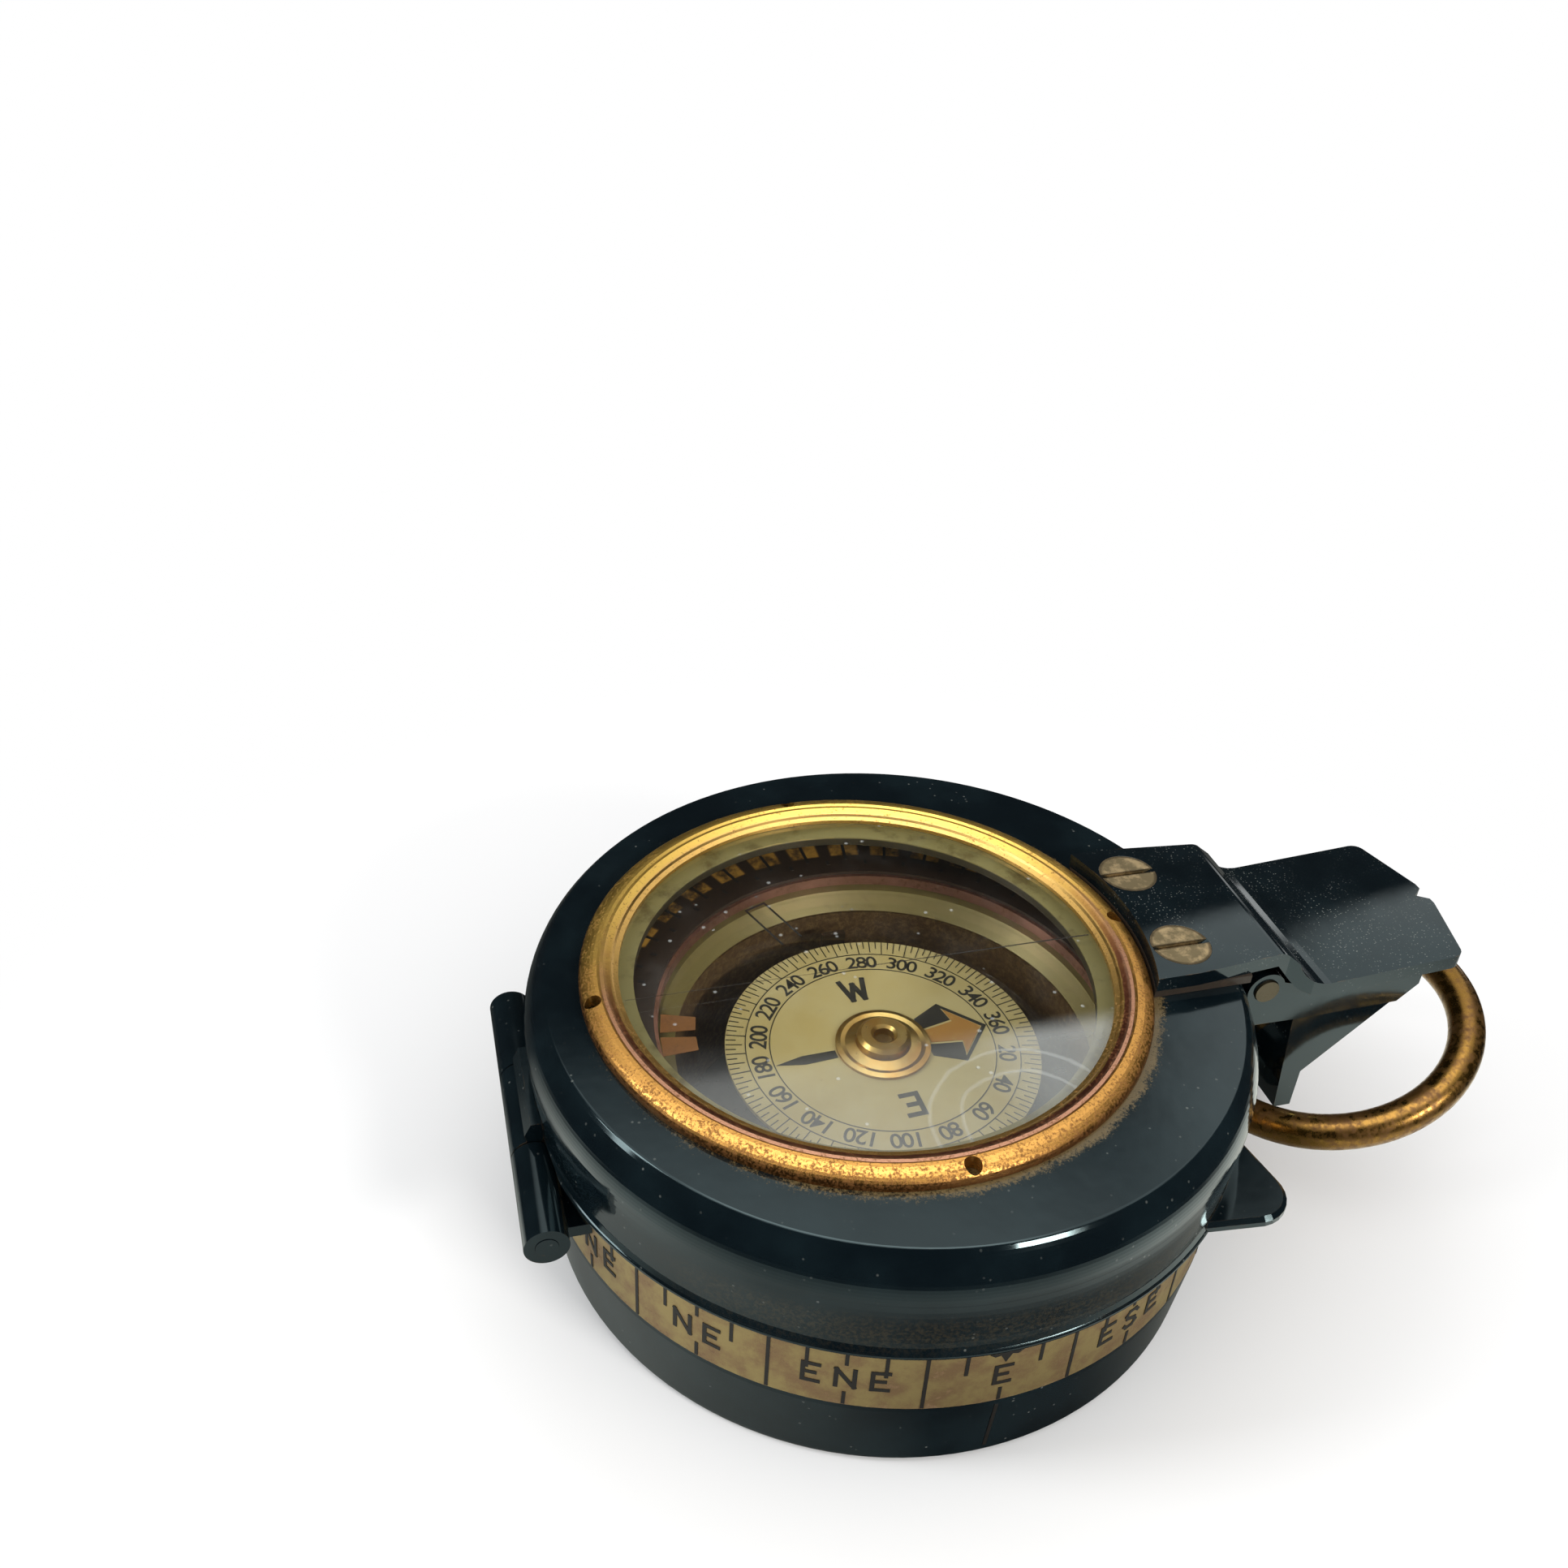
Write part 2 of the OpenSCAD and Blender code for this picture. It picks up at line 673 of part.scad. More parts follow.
// The plate that packs up the guard tab on the lid
module guard_packing() {
    packing_w = guard_root_w - 0.3;
    color("#7a5a33")
    difference() {
        intersection() {
            translate([tab_in, -packing_w / 2, packing_z]) cube([packing_end, packing_w, packing_t]);
            cylinder(r = packing_end, h = tab_top);
        }
        translate([-window_shift, 0, packing_z - 1]) cylinder(r = tab_inner_r, h = packing_t + 2);
        at_guard_screws() cylinder(r = screw_r + seat_gap, h = 20, center = true);
    }
}

// Side outline of the guard tab: flat on its packing, then a curved step down that clears the box's ears
module guard_side() {
    crest = 1.2;
    sweep = 3.4;
    sweep_z = tab_low + sweep;
    sweep_x = pivot_x + sqrt(pow(sweep + guard_t + clear + ear_r, 2) - pow(sweep_z - pivot_z, 2));
    rise = 0.07 * (guard_reach - sweep_x);
    top = concat(arc(step_x - 1, tab_top - crest, crest, 90, 45, 4),
        arc(sweep_x, sweep_z, sweep, 200, 270, 6), [[guard_reach, tab_low + rise]]);
    under = concat([[guard_reach, tab_low - guard_t + rise]],
        arc(sweep_x, sweep_z, sweep + guard_t, 270, 218, 5), [[step_x - 0.9, tab_z], [0, tab_z]]);
    side_plate(concat([[0, tab_top]], top, under), guard_root_w + 10);
}

// Plan outline of the guard tab: waisted at the step, with a sighting notch in its end
function guard_plan() =
    let (half = guard_w / 2, corner = guard_reach - 1.4,
        low_side = concat([[tab_in, -guard_root_w / 2], [screw_x, -guard_root_w / 2],
            [step_x, -guard_waist_w / 2], [step_x + 2.5, -half]], arc(corner - 1, 1 - half, 1, -90, -20, 4),
            [[guard_reach, -1.3], [guard_reach, -0.7]]))
    concat(low_side, [[guard_reach - 0.9, 0]],
        [for (i = [len(low_side) - 1:-1:0]) [low_side[i][0], -low_side[i][1]]]);

module prism_guard() {
    color(lacquer)
    difference() {
        intersection() {
            guard_side();
            translate([0, 0, tab_z - 6]) linear_extrude(height = 12) polygon(guard_plan());
        }
        translate([-window_shift, 0, tab_z - 1]) cylinder(r = tab_inner_r, h = 9);
        at_guard_screws() cylinder(r = screw_r + seat_gap, h = 20, center = true);
        at_guard_screws() translate([0, 0, -head_t])
            cylinder(r1 = screw_r + seat_gap, r2 = screw_head_r + seat_gap, h = head_t);
    }
}

// The two screw places on the guard tab, level with its top
module at_guard_screws() {
    for (s = [-1, 1]) translate([screw_x, s * screw_pitch / 2, tab_top]) children();
}

module guard_screws() {
    grip = tab_top - roof_z;
    color(brass)
    at_guard_screws()
        difference() {
            union() {
                translate([0, 0, -grip]) cylinder(r = screw_r, h = grip - head_t);
                translate([0, 0, -head_t]) cylinder(r1 = screw_r, r2 = screw_head_r, h = head_t);
            }
            translate([-screw_head_r - 1, -0.22, -0.35]) cube([2 * screw_head_r + 2, 0.44, 1]);
        }
}

module lid_hinge_leaf() {
    half = mid_knuckle_l / 2;
    leaf_top = hinge_z + 2 * knuckle_r;
    color(lacquer)
    difference() {
        union() {
            knuckle(-half, half);
            side_plate([[-hinge_x, hinge_z], [-hinge_x - 0.5, leaf_top - 1], [-hinge_x, leaf_top],
                [-lid_r + 2, leaf_top], [-lid_r + 2, hinge_z]], mid_knuckle_l);
        }
        difference() {
            lid_plug(seat_gap);
            along_y(knuckle_r, mid_knuckle_l, -hinge_x, hinge_z);
        }
        along_y(hinge_pin_r + run_gap, hinge_l + 2, -hinge_x, hinge_z);
    }
}

// One layer of the thumb lift, drawn in by inset from its full outline
module lift_layer(z, h, inset) {
    translate([0, 0, z])
        linear_extrude(height = h)
            offset(delta = -inset)
                polygon(lift_w * concat([[-0.1, 0.5], [0, 0.48], [0.11, 0.38]],
                    arc(0.18, -0.025, 0.28, 55, -75, 10), [[0.12, -0.4], [0, -0.49], [-0.1, -0.51]]));
}

// The rounded ear on the lid's lower edge, for the thumb
module thumb_lift() {
    lift_t = 1;
    color(lacquer)
    difference() {
        rotate([0, 0, -43]) translate([lid_r - 0.6, 0, lid_z + 0.05]) rotate([0, -4, 0])
            hull() {
                lift_layer(0, lift_t, 0.3);
                lift_layer(0.3, lift_t - 0.6, 0);
            }
        lid_plug(seat_gap);
    }
}

// Side outline of the prism box without its ears
function box_outline() = [[box_in, box_top], [box_end, box_top], [box_end, box_end - bevel_k],
    [leg_out, bevel_low], [leg_out, leg_z], [leg_in, leg_z], [box_in, box_top - 3.7]];

module prism_box() {
    prism_low = prism_in - prism_k;
    prism_far = prism_top + prism_k;
    color(lacquer)
    difference() {
        union() {
            side_plate(box_outline(), box_w - 0.6);
            side_plate([[box_in, box_top], [box_end, box_top], [box_end, box_end - bevel_k],
                [box_end - 1.6, box_end - bevel_k - 1.6], [box_in, box_top - 3.6]], box_w);
            difference() {
                union() {
                    along_y(ear_r, box_w, pivot_x, pivot_z);
                    side_plate([[pivot_x + ear_r * cos(20), pivot_z + ear_r * sin(20)], [box_in, box_top],
                        [box_in + 1, box_top], [box_in + 1, box_top - 3.6], [pivot_x - 0.7, box_top - 3.5],
                        [pivot_x - ear_r, pivot_z]], box_w);
                }
                cube([2 * box_in + 0.6, bracket_w + 2 * knuckle_gap, 100], center = true);
            }
        }
        along_y(pivot_pin_r + run_gap, box_w + 2, pivot_x, pivot_z);
        side_plate([[prism_in, prism_top], [prism_far, prism_top], [prism_in, prism_low]], prism_w);
        translate([(prism_in + prism_far) / 2 - 1.4, 0, prism_top - 0.5]) cylinder(r = 2.8, h = 3);
        translate([box_in - 2, 0, eye_z]) rotate([0, 90, 0]) cylinder(r = eye_r + seat_gap, h = 4);
        translate([leg_in - 2, -slot_w / 2, leg_z + 0.7]) cube([6, slot_w, leg_h - 1.2]);
    }
}

module prism_glass() {
    g = 0.03;
    color([0.75, 0.8, 0.8, 0.5])
    side_plate([[prism_in + g, prism_top - g], [prism_top + prism_k - 3 * g, prism_top - g],
        [prism_in + g, prism_in - prism_k + 3 * g]], prism_w - 2 * g);
}

module eye_lens() {
    color([0.75, 0.8, 0.85, 0.5])
    translate([prism_in - eye_t, 0, eye_z]) rotate([0, 90, 0]) cylinder(r = eye_r, h = eye_t);
}

module prism_pin() {
    color(brass) along_y(pivot_pin_r, box_w + 0.4, pivot_x, pivot_z);
}

module setting_ring() {
    color(brass)
    difference() {
        rotate_extrude()
            polygon([[dial_open_r, glass_top], [dial_open_r, plate_z], [plate_r + 0.05, plate_z],
                [plate_r + 0.05, setting_top], [core_r - 0.3, setting_top], [core_r, setting_top - 0.3],
                [core_r, setting_z], [skirt_r, setting_z], [skirt_r, skirt_z], [skirt_in, skirt_z],
                [skirt_in, glass_z + 0.2], [hub_r, glass_z + 0.2], [hub_r, cone_z],
                [dial_glass_r + seat_gap, cone_z], [dial_glass_r + seat_gap, glass_top]]);
        tube(keeper_in - 0.1, skirt_r + 1, wire_z - 0.05, wire_z + keeper_h + 0.05);
    }
}

module milled_rim() {
    color(brass)
    translate([0, 0, setting_z])
        linear_extrude(height = setting_top - 0.5 - setting_z)
            difference() {
                polygon([for (i = [0:2 * milled_count - 1]) let (r = i % 2 == 0 ? setting_r : setting_r - tooth,
                    a = 180 * i / milled_count) r * [cos(a), sin(a)]]);
                circle(r = core_r + seat_gap, $fn = 360);
            }
}

module ring_scale() {
    color("#3b2a1c") tube(dial_open_r + 0.3, plate_r, plate_z, plate_z + plate_t);
}

// Ticks every ten degrees on the annular scale, with a short one between
module scale_marks() {
    plate_w = plate_r - dial_open_r;
    color(ink)
    for (a = [0:5:355])
        rotate([0, 0, a + 2.5]) {
            long = a % 10 == 0;
            r0 = dial_open_r + (long ? 0.34 : 0.24) * plate_w;
            tick = (long ? 0.39 : 0.09) * plate_w;
            translate([r0, -0.13, plate_z + plate_t]) cube([tick, 0.26, mark_t]);
        }
}

module dial_glass() {
    color([0.8, 0.85, 0.8, 0.35])
    translate([0, 0, glass_z]) cylinder(r = dial_glass_r, h = dial_glass_t);
}

// The threaded ring under the dial glass, with its pale cone towards the card
module glass_retainer() {
    color(cream)
    rotate_extrude()
        polygon([[dial_glass_r, glass_z], [dial_open_r - 0.1, glass_z], [bowl_r, cone_z],
            [dial_glass_r, cone_z]]);
}

// The direction mark on the dial glass: a long narrow frame, open to the centre
module direction_mark() {
    color(ink)
    rotate([0, 0, 112]) translate([0, 0, glass_top])
        linear_extrude(height = 0.03) {
            for (s = [-1, 1])
                translate([card_r - 0.4, s * 0.95 - 0.09]) square([dial_open_r - card_r + 0.2, 0.18]);
            translate([dial_open_r - 0.4, -0.95]) square([0.2, 1.9]);
        }
}

// Two luminous patches on the dial glass
module luminous_patches() {
    color(glow)
    for (s = [-1, 1])
        rotate([0, 0, 172 + s * 4.2]) translate([0, 0, glass_top])
            linear_extrude(height = 0.05)
                polygon([[dial_open_r - 2.9, -0.7], [dial_open_r - 0.2, -1], [dial_open_r - 0.2, 1],
                    [dial_open_r - 2.9, 0.7]]);
}

module card_disc() {
    color(cream)
    rotate([0, 0, card_turn])
        difference() {
            translate([0, 0, card_z]) cylinder(r = card_r, h = card_t);
            translate([0, 0, card_z - 1]) cylinder(r = jewel_r + 0.5, h = 3);
        }
}

// Flat marks on top of the card, turned with it
module on_card(h = mark_t) {
    rotate([0, 0, card_turn]) translate([0, 0, card_top]) linear_extrude(height = h) children();
}

// A letter of the card at an angle, with its top outward
module card_letter(c, angle, h) {
    rotate(angle) translate([cap_r + 1.7, 0]) rotate(-90) letter(c, h, 0.2 * h);
}

// Outline of one black wing of the north mark
function wing(s) = [[cap_r - 0.3, s * 0.85], [cap_r - 0.3, s * 2.1], [cap_r + 2.1, s * 3.3],
    [cap_r + 2.5, s * 1.3]];

module card_marks() {
    line_w = 0.07;
    outer_line_r = card_r - 1.6;
    inner_line_r = card_r - 3.5;
    color(ink)
    on_card() {
        for (r = [outer_line_r, inner_line_r])
            difference() {
                circle(r = r + line_w / 2);
                circle(r = r - line_w / 2);
            }
        for (a = [0:2.5:357.5]) {
            tick = a % 10 == 0 ? 1.55 : a % 5 == 0 ? 1.3 : 0.8;
            rotate(a) translate([card_r - tick - 0.05, -line_w / 2]) square([tick, line_w]);
        }
        difference() {
            union() {
                polygon(wing(1));
                polygon(wing(-1));
                polygon([[cap_r + 2.1, 3.3], [cap_r + 5.1, 0], [cap_r + 4.7, 0], [cap_r + 2.2, 2.8]]);
                polygon([[cap_r + 2.1, -3.3], [cap_r + 2.2, -2.8], [cap_r + 4.7, 0], [cap_r + 5.1, 0]]);
            }
            circle(r = cap_r + 0.05);
        }
        card_letter("W", 90, 2.2);
        card_letter("E", -90, 2);
        polygon([[-cap_r - 0.1, -0.4], [-cap_r - 0.1, 0.4], [-cap_r - 2.8, 0.46], [-cap_r - 5, 0],
            [-cap_r - 2.8, -0.46]]);
    }
}

// The luminous field between the wings of the north mark
module north_mark() {
    color(glow)
    on_card(mark_t)
        difference() {
            polygon([[cap_r + 0.1, -0.7], [cap_r + 0.1, 0.7], [cap_r + 2.6, 1.1], [cap_r + 2.33, 2.55],
                [cap_r + 4.6, 0], [cap_r + 2.33, -2.55], [cap_r + 2.6, -1.1]]);
            circle(r = cap_r + 0.05);
        }
}

module card_cap() {
    color(brass)
    translate([0, 0, card_top])
    rotate_extrude()
        polygon([[jewel_r + seat_gap, -card_t], [jewel_r + 0.45, -card_t], [jewel_r + 0.45, 0], [cap_r, 0],
            [cap_r, cap_flange_t - 0.1], [cap_r - 0.4, cap_flange_t], [boss_r + 0.9, cap_flange_t - 0.1],
            [boss_r + 0.1, cap_flange_t + 0.1], [boss_r, cap_h - 0.25], [boss_r - 0.3, cap_h],
            [boss_hole_r + 0.25, cap_h], [boss_hole_r, cap_h - 0.2], [boss_hole_r, jewel_t - card_t - 0.1],
            [jewel_r + seat_gap, jewel_t - card_t - 0.1]]);
}

module jewel() {
    color("#6b3a2a")
    translate([0, 0, jewel_z])
    rotate_extrude()
        polygon([[0.7, 0], [jewel_r, 0], [jewel_r, jewel_t], [0, jewel_t], [0, 0.5]]);
}

module magnet_bars() {
    color(steel)
    rotate([0, 0, card_turn])
        for (s = [-1, 1])
            translate([-magnet_l / 2, s * magnet_y - magnet_w / 2, card_z - magnet_w])
                cube([magnet_l, magnet_w, magnet_w]);
}

module carrying_ring() {
    color("#a5823a")
    translate([lug_x, 0, lug_z]) rotate([0, -carry_tilt, 0]) translate([carry_r, 0, 0])
        rotate_extrude() translate([carry_r, 0]) circle(r = wire_r, $fn = 32);
}

// The check button, its stem with a collar, and the finger that stills the card
module check_button() {
    head_y = bush_out + button_travel + clear;
    color(brass) {
        translate([0, 0, button_z]) rotate([-90, 0, 0]) {
            translate([0, 0, finger_y]) cylinder(r = stem_r, h = head_y - finger_y + 0.5);
            translate([0, 0, head_y]) cylinder(r = button_r, h = 1.2);
            translate([0, 0, collar_y]) cylinder(r = stem_r + 0.7, h = 0.6);
        }
        translate([-1, finger_y, button_z]) cube([2, finger_t, card_top + 0.05 - button_z]);
    }
}

// Points of one turn-by-turn tube wound along y
function coil_ring(t, turns, r, w, y0, y1, sides) =
    let (a = 360 * turns * t, c = [r * cos(a), y0 + (y1 - y0) * t, r * sin(a)])
    [for (k = [0:sides - 1]) let (b = 360 * k / sides)
        c + w * (cos(b) * [cos(a), 0, sin(a)] + sin(b) * [0, 1, 0])];

module button_spring() {
    sides = 6;
    turns = 5;
    rings = 16 * turns;
    w = 0.17;
    y0 = bowl_r + bowl_t + w + 0.08;
    y1 = collar_y - w - 0.05;
    rows = [for (i = [0:rings]) coil_ring(i / rings, turns, stem_r + 0.45, w, y0, y1, sides)];
    points = [for (row = rows) for (p = row) p];
    side = [for (i = [0:rings - 1]) for (k = [0:sides - 1])
        let (a = i * sides + k, b = i * sides + (k + 1) % sides) [a, b, b + sides, a + sides]];
    ends = [[for (k = [sides - 1:-1:0]) k], [for (k = [0:sides - 1]) rings * sides + k]];
    color(steel)
    translate([0, 0, button_z]) polyhedron(points, concat(side, ends));
}

case_shell();
scale_band();
band_marks();
index_line();
bowl_liner();
liner_screws();
keeper_wire();
pivot_post();
pivot_needle();
case_hinge_leaf();
hinge_pin();
prism_bracket();
bracket_screws();
ring_lug();
button_bush();
lid_shell();
window_glass();
sight_line();
glass_seat();
glass_ring();
guard_packing();
prism_guard();
guard_screws();
lid_hinge_leaf();
thumb_lift();
prism_box();
prism_glass();
eye_lens();
prism_pin();
setting_ring();
milled_rim();
ring_scale();
scale_marks();
dial_glass();
glass_retainer();
direction_mark();
luminous_patches();
card_disc();
card_marks();
north_mark();
card_cap();
jewel();
magnet_bars();
carrying_ring();
check_button();
button_spring();
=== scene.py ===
import math

import bpy
from mathutils import Matrix, Vector


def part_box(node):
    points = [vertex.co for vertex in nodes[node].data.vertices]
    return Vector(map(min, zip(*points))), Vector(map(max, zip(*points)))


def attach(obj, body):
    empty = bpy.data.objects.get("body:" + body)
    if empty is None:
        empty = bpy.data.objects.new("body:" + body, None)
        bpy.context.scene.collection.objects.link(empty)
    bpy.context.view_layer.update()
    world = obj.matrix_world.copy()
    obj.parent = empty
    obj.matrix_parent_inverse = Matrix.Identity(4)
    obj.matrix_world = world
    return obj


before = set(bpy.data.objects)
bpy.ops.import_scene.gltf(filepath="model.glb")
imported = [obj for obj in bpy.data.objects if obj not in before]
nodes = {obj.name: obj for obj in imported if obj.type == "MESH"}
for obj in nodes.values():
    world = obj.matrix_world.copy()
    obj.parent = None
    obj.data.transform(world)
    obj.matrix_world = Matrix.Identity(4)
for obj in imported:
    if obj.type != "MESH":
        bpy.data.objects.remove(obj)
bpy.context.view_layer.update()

scene = bpy.context.scene
scene.view_settings.view_transform = "Standard"
mm = 0.001


def report(words):
    print("compass:", words)


# The camera stands where the photograph was taken from
cameraPlace = {
    "location": (-0.0320, -0.0773, 0.0940),
    "lookAt": (0.0027, 0.0404, 0.0120),
    "roll": 3.05,  # degrees, anticlockwise
    "lens": 33.2,
    "sensor": 36.0,
    "nearest": 2 * mm,  # where its view starts
}


def makeCamera(place):
    data = bpy.data.cameras.new("photoCamera")
    data.lens = place["lens"]
    data.sensor_width = place["sensor"]
    data.clip_start = place["nearest"]
    camera = bpy.data.objects.new("photoCamera", data)
    scene.collection.objects.link(camera)
    start = Vector(place["location"])
    turn = (Vector(place["lookAt"]) - start).to_track_quat("-Z", "Y").to_matrix().to_4x4()
    roll = Matrix.Rotation(math.radians(place["roll"]), 4, "Z")
    camera.matrix_world = Matrix.Translation(start) @ turn @ roll
    scene.camera = camera


makeCamera(cameraPlace)
report("camera placed")


class Wire:
    # One socket, so that sums on it add Math nodes

    def __init__(self, board, socket):
        self.board = board
        self.socket = socket

    def maths(self, operation, first, second=0.0):
        return self.board.add("ShaderNodeMath", {"operation": operation}, {0: first, 1: second})

    def __add__(self, other):
        return self.maths("ADD", self, other)

    def __radd__(self, other):
        return self.maths("ADD", other, self)

    def __sub__(self, other):
        return self.maths("SUBTRACT", self, other)

    def __rsub__(self, other):
        return self.maths("SUBTRACT", other, self)

    def __mul__(self, other):
        return self.maths("MULTIPLY", self, other)

    def __rmul__(self, other):
        return self.maths("MULTIPLY", other, self)

    def __truediv__(self, other):
        return self.maths("DIVIDE", self, other)

    def __rtruediv__(self, other):
        return self.maths("DIVIDE", other, self)

    def __pow__(self, other):
        return self.maths("POWER", self, other)

    def __rpow__(self, other):
        return self.maths("POWER", other, self)


# What the specks and the worn edges of all finishes share
patternLook = {
    "speckRim": (0.12, 0.3),  # where a speck fades out, in cells
    "speckStep": 0.001,
    "edgeTurn": (0.01, 0.12),  # 1 less the cosine of the turn at an edge
    "edgeSamples": 6,
}


class Board:
    # A node tree; add() makes every node other than the sums

    def __init__(self, tree):
        self.tree = tree
        tree.nodes.clear()

    def add(self, kind, settings=None, inputs=None, output=0):
        node = self.tree.nodes.new(kind)
        for name, value in (settings or {}).items():
            if name == "ramp":
                self.fillRamp(node.color_ramp, value)
            else:
                setattr(node, name, value)
        for name, value in (inputs or {}).items():
            socket = node.inputs[name]
            if isinstance(value, Wire):
                self.tree.links.new(value.socket, socket)
            elif socket.type == "RGBA" and len(value) == 3:
                socket.default_value = (*value, 1.0)
            else:
                socket.default_value = value
        return Wire(self, node.outputs[output]) if len(node.outputs) else node

    def fillRamp(self, ramp, stops):
        while len(ramp.elements) < len(stops):
            ramp.elements.new(1.0)
        for element, (place, colour) in zip(ramp.elements, stops):
            element.position = place
            element.color = (*colour, 1.0)

    def mix(self, factor, first, second):
        return self.add("ShaderNodeMix", {"data_type": "RGBA"}, {0: factor, 6: first, 7: second}, 2)

    def blend(self, part, first, second):
        # The given part of the first number and the rest of the second
        return first * part + second * (1 - part)

    def larger(self, first, second):
        return self.add("ShaderNodeMath", {"operation": "MAXIMUM"}, {0: first, 1: second})

    def place(self):
        return self.add("ShaderNodeTexCoord", {}, {}, 3)

    def split(self, vector):
        node = self.add("ShaderNodeSeparateXYZ", {}, {0: vector}).socket.node
        return [Wire(self, socket) for socket in node.outputs]

    def length(self, first, second):
        return (first * first + second * second) ** 0.5

    def noise(self, size, detail, rough, seed=0.0):
        # size is the breadth of one blotch, in metres
        inputs = {"Vector": self.place(), "W": seed, "Scale": 1 / size, "Detail": detail, "Roughness": rough}
        return self.add("ShaderNodeTexNoise", {"noise_dimensions": "4D"}, inputs)

    def fade(self, value, low, high):
        # 0 below low, 1 above high, smooth between
        settings = {"interpolation_type": "SMOOTHSTEP"}
        return self.add("ShaderNodeMapRange", settings, {0: value, 1: low, 2: high, 3: 0.0, 4: 1.0})

    def specks(self, size, amount, seed=0.0):
        # Small round spots, in the given share of the cells
        look = patternLook
        shift = {0: self.place(), 1: (seed, seed, seed)}
        spot = self.add("ShaderNodeVectorMath", {"operation": "ADD"}, shift)
        cells = self.add("ShaderNodeTexVoronoi", {}, {"Vector": spot, "Scale": 1 / size}).socket.node
        near = 1 - self.fade(Wire(self, cells.outputs["Distance"]), *look["speckRim"])
        red = self.split(Wire(self, cells.outputs["Color"]))[0]
        return near * self.fade(red, 1 - amount, 1 + look["speckStep"] - amount)

    def edges(self, breadth):
        # Where the surface turns sharply within the given breadth
        soft = self.add("ShaderNodeBevel", {"samples": patternLook["edgeSamples"]}, {"Radius": breadth})
        plain = self.add("ShaderNodeNewGeometry", {}, {}, 1)
        same = self.add("ShaderNodeVectorMath", {"operation": "DOT_PRODUCT"}, {0: soft, 1: plain}, 1)
        return self.fade(1 - same, *patternLook["edgeTurn"])

    def ripple(self, height, depth):
        return self.add("ShaderNodeBump", {}, {"Strength": 1.0, "Distance": depth, "Height": height})

    def lightPath(self, names):
        # 1 for the named kinds of ray
        path = self.add("ShaderNodeLightPath").socket.node
        found = Wire(self, path.outputs[names[0]])
        for name in names[1:]:
            found = self.larger(found, Wire(self, path.outputs[name]))
        return found

    def surface(self, fixed, varying):
        # The Principled shader: fixed values on its sockets, and the wires that vary over the surface
        return self.add("ShaderNodeBsdfPrincipled", {}, {**fixed, **varying})

    def layer(self, factor, below, above):
        return self.add("ShaderNodeMixShader", {}, {0: factor, 1: below, 2: above})

    def out(self, shader):
        self.add("ShaderNodeOutputMaterial", {}, {0: shader})


def newMaterial(name):
    material = bpy.data.materials.new(name)
    material.use_nodes = True
    return material, Board(material.node_tree)


# In the looks, a noise is its size, detail, roughness and seed, and a range is where a fade starts and ends

# Blue-black lacquer on brass: glossy, dusty in places, rubbed through on its edges
lacquerLook = {
    "dark": (0.0022, 0.0045, 0.0062),
    "light": (0.0050, 0.0100, 0.0125),
    "cloud": (7 * mm, 4.0, 0.55),
    "cloudRange": (0.35, 0.7),
    "dust": (0.20, 0.21, 0.19),
    "dustSize": 0.45 * mm,
    "dustRange": (0.42, 0.6),
    "dustPlain": 0.4,
    "dustMore": 0.2,
    "bare": (0.13, 0.075, 0.028),
    "edgeBreadth": 0.10 * mm,
    "wear": (1.6 * mm, 5.0, 0.7, 5.0),
    "wearRange": (0.62, 0.75),
    "wearReach": 0.2,
    "stain": (0.17, 0.115, 0.045),
    "smudge": (11 * mm, 5.0, 0.6, 9.0),
    "smudgeRange": (0.4, 0.75),
    "roughness": 0.07,
    "smudgeRoughness": 0.10,
    "wornRoughness": 0.25,
    "dustRoughness": 0.4,
    "swell": (3.0 * mm, 2.0, 0.55, 4.0),
    "fine": (0.5 * mm, 3.0, 0.55, 2.0),
    "finePart": 0.05,
    "relief": 0.012 * mm,
    "index": 1.5,
    "gloss": (0.74, 0.98, 1.0),  # its reflections are a little blue-green
}


def lacquer(name, wear=0.5, halo=None, dusty=0.08, crown=None):
    # crown is the slope across the piece at 1 m from its ridge, and the place of that ridge
    look = lacquerLook
    material, board = newMaterial(name)
    cloud = board.noise(*look["cloud"])
    base = board.mix(board.fade(cloud, *look["cloudRange"]), look["dark"], look["light"])
    dust = board.specks(look["dustSize"] / (1 + dusty), dusty) * board.fade(cloud, *look["dustRange"])
    dust = dust * (look["dustPlain"] + dusty * look["dustMore"])
    base = board.mix(dust, base, look["dust"])
    low, high = look["wearRange"]
    worn = board.edges(look["edgeBreadth"])
    worn = worn * board.fade(board.noise(*look["wear"]), low - look["wearReach"] * wear, high)
    base = board.mix(worn, base, look["bare"])
    if halo:
        stain = halo(board)
        base = board.mix(stain, base, look["stain"])
        worn = worn + stain
    smudge = board.fade(board.noise(*look["smudge"]), *look["smudgeRange"])
    rough = look["roughness"] + smudge * look["smudgeRoughness"] + worn * look["wornRoughness"]
    rough = rough + dust * look["dustRoughness"]
    relief = board.noise(*look["swell"]) + board.noise(*look["fine"]) * look["finePart"]
    if crown:
        slope, ridge = crown
        side = board.split(board.place())[1] - ridge
        relief = relief - side * side * (slope / 2 / look["relief"])
    bump = board.ripple(relief, look["relief"])
    fixed = {"IOR": look["index"], "Specular Tint": look["gloss"]}
    board.out(board.surface(fixed, {"Base Color": base, "Roughness": rough, "Normal": bump}))
    return material


# Where the middle of the window lies
windowCentre = -2.1 * mm

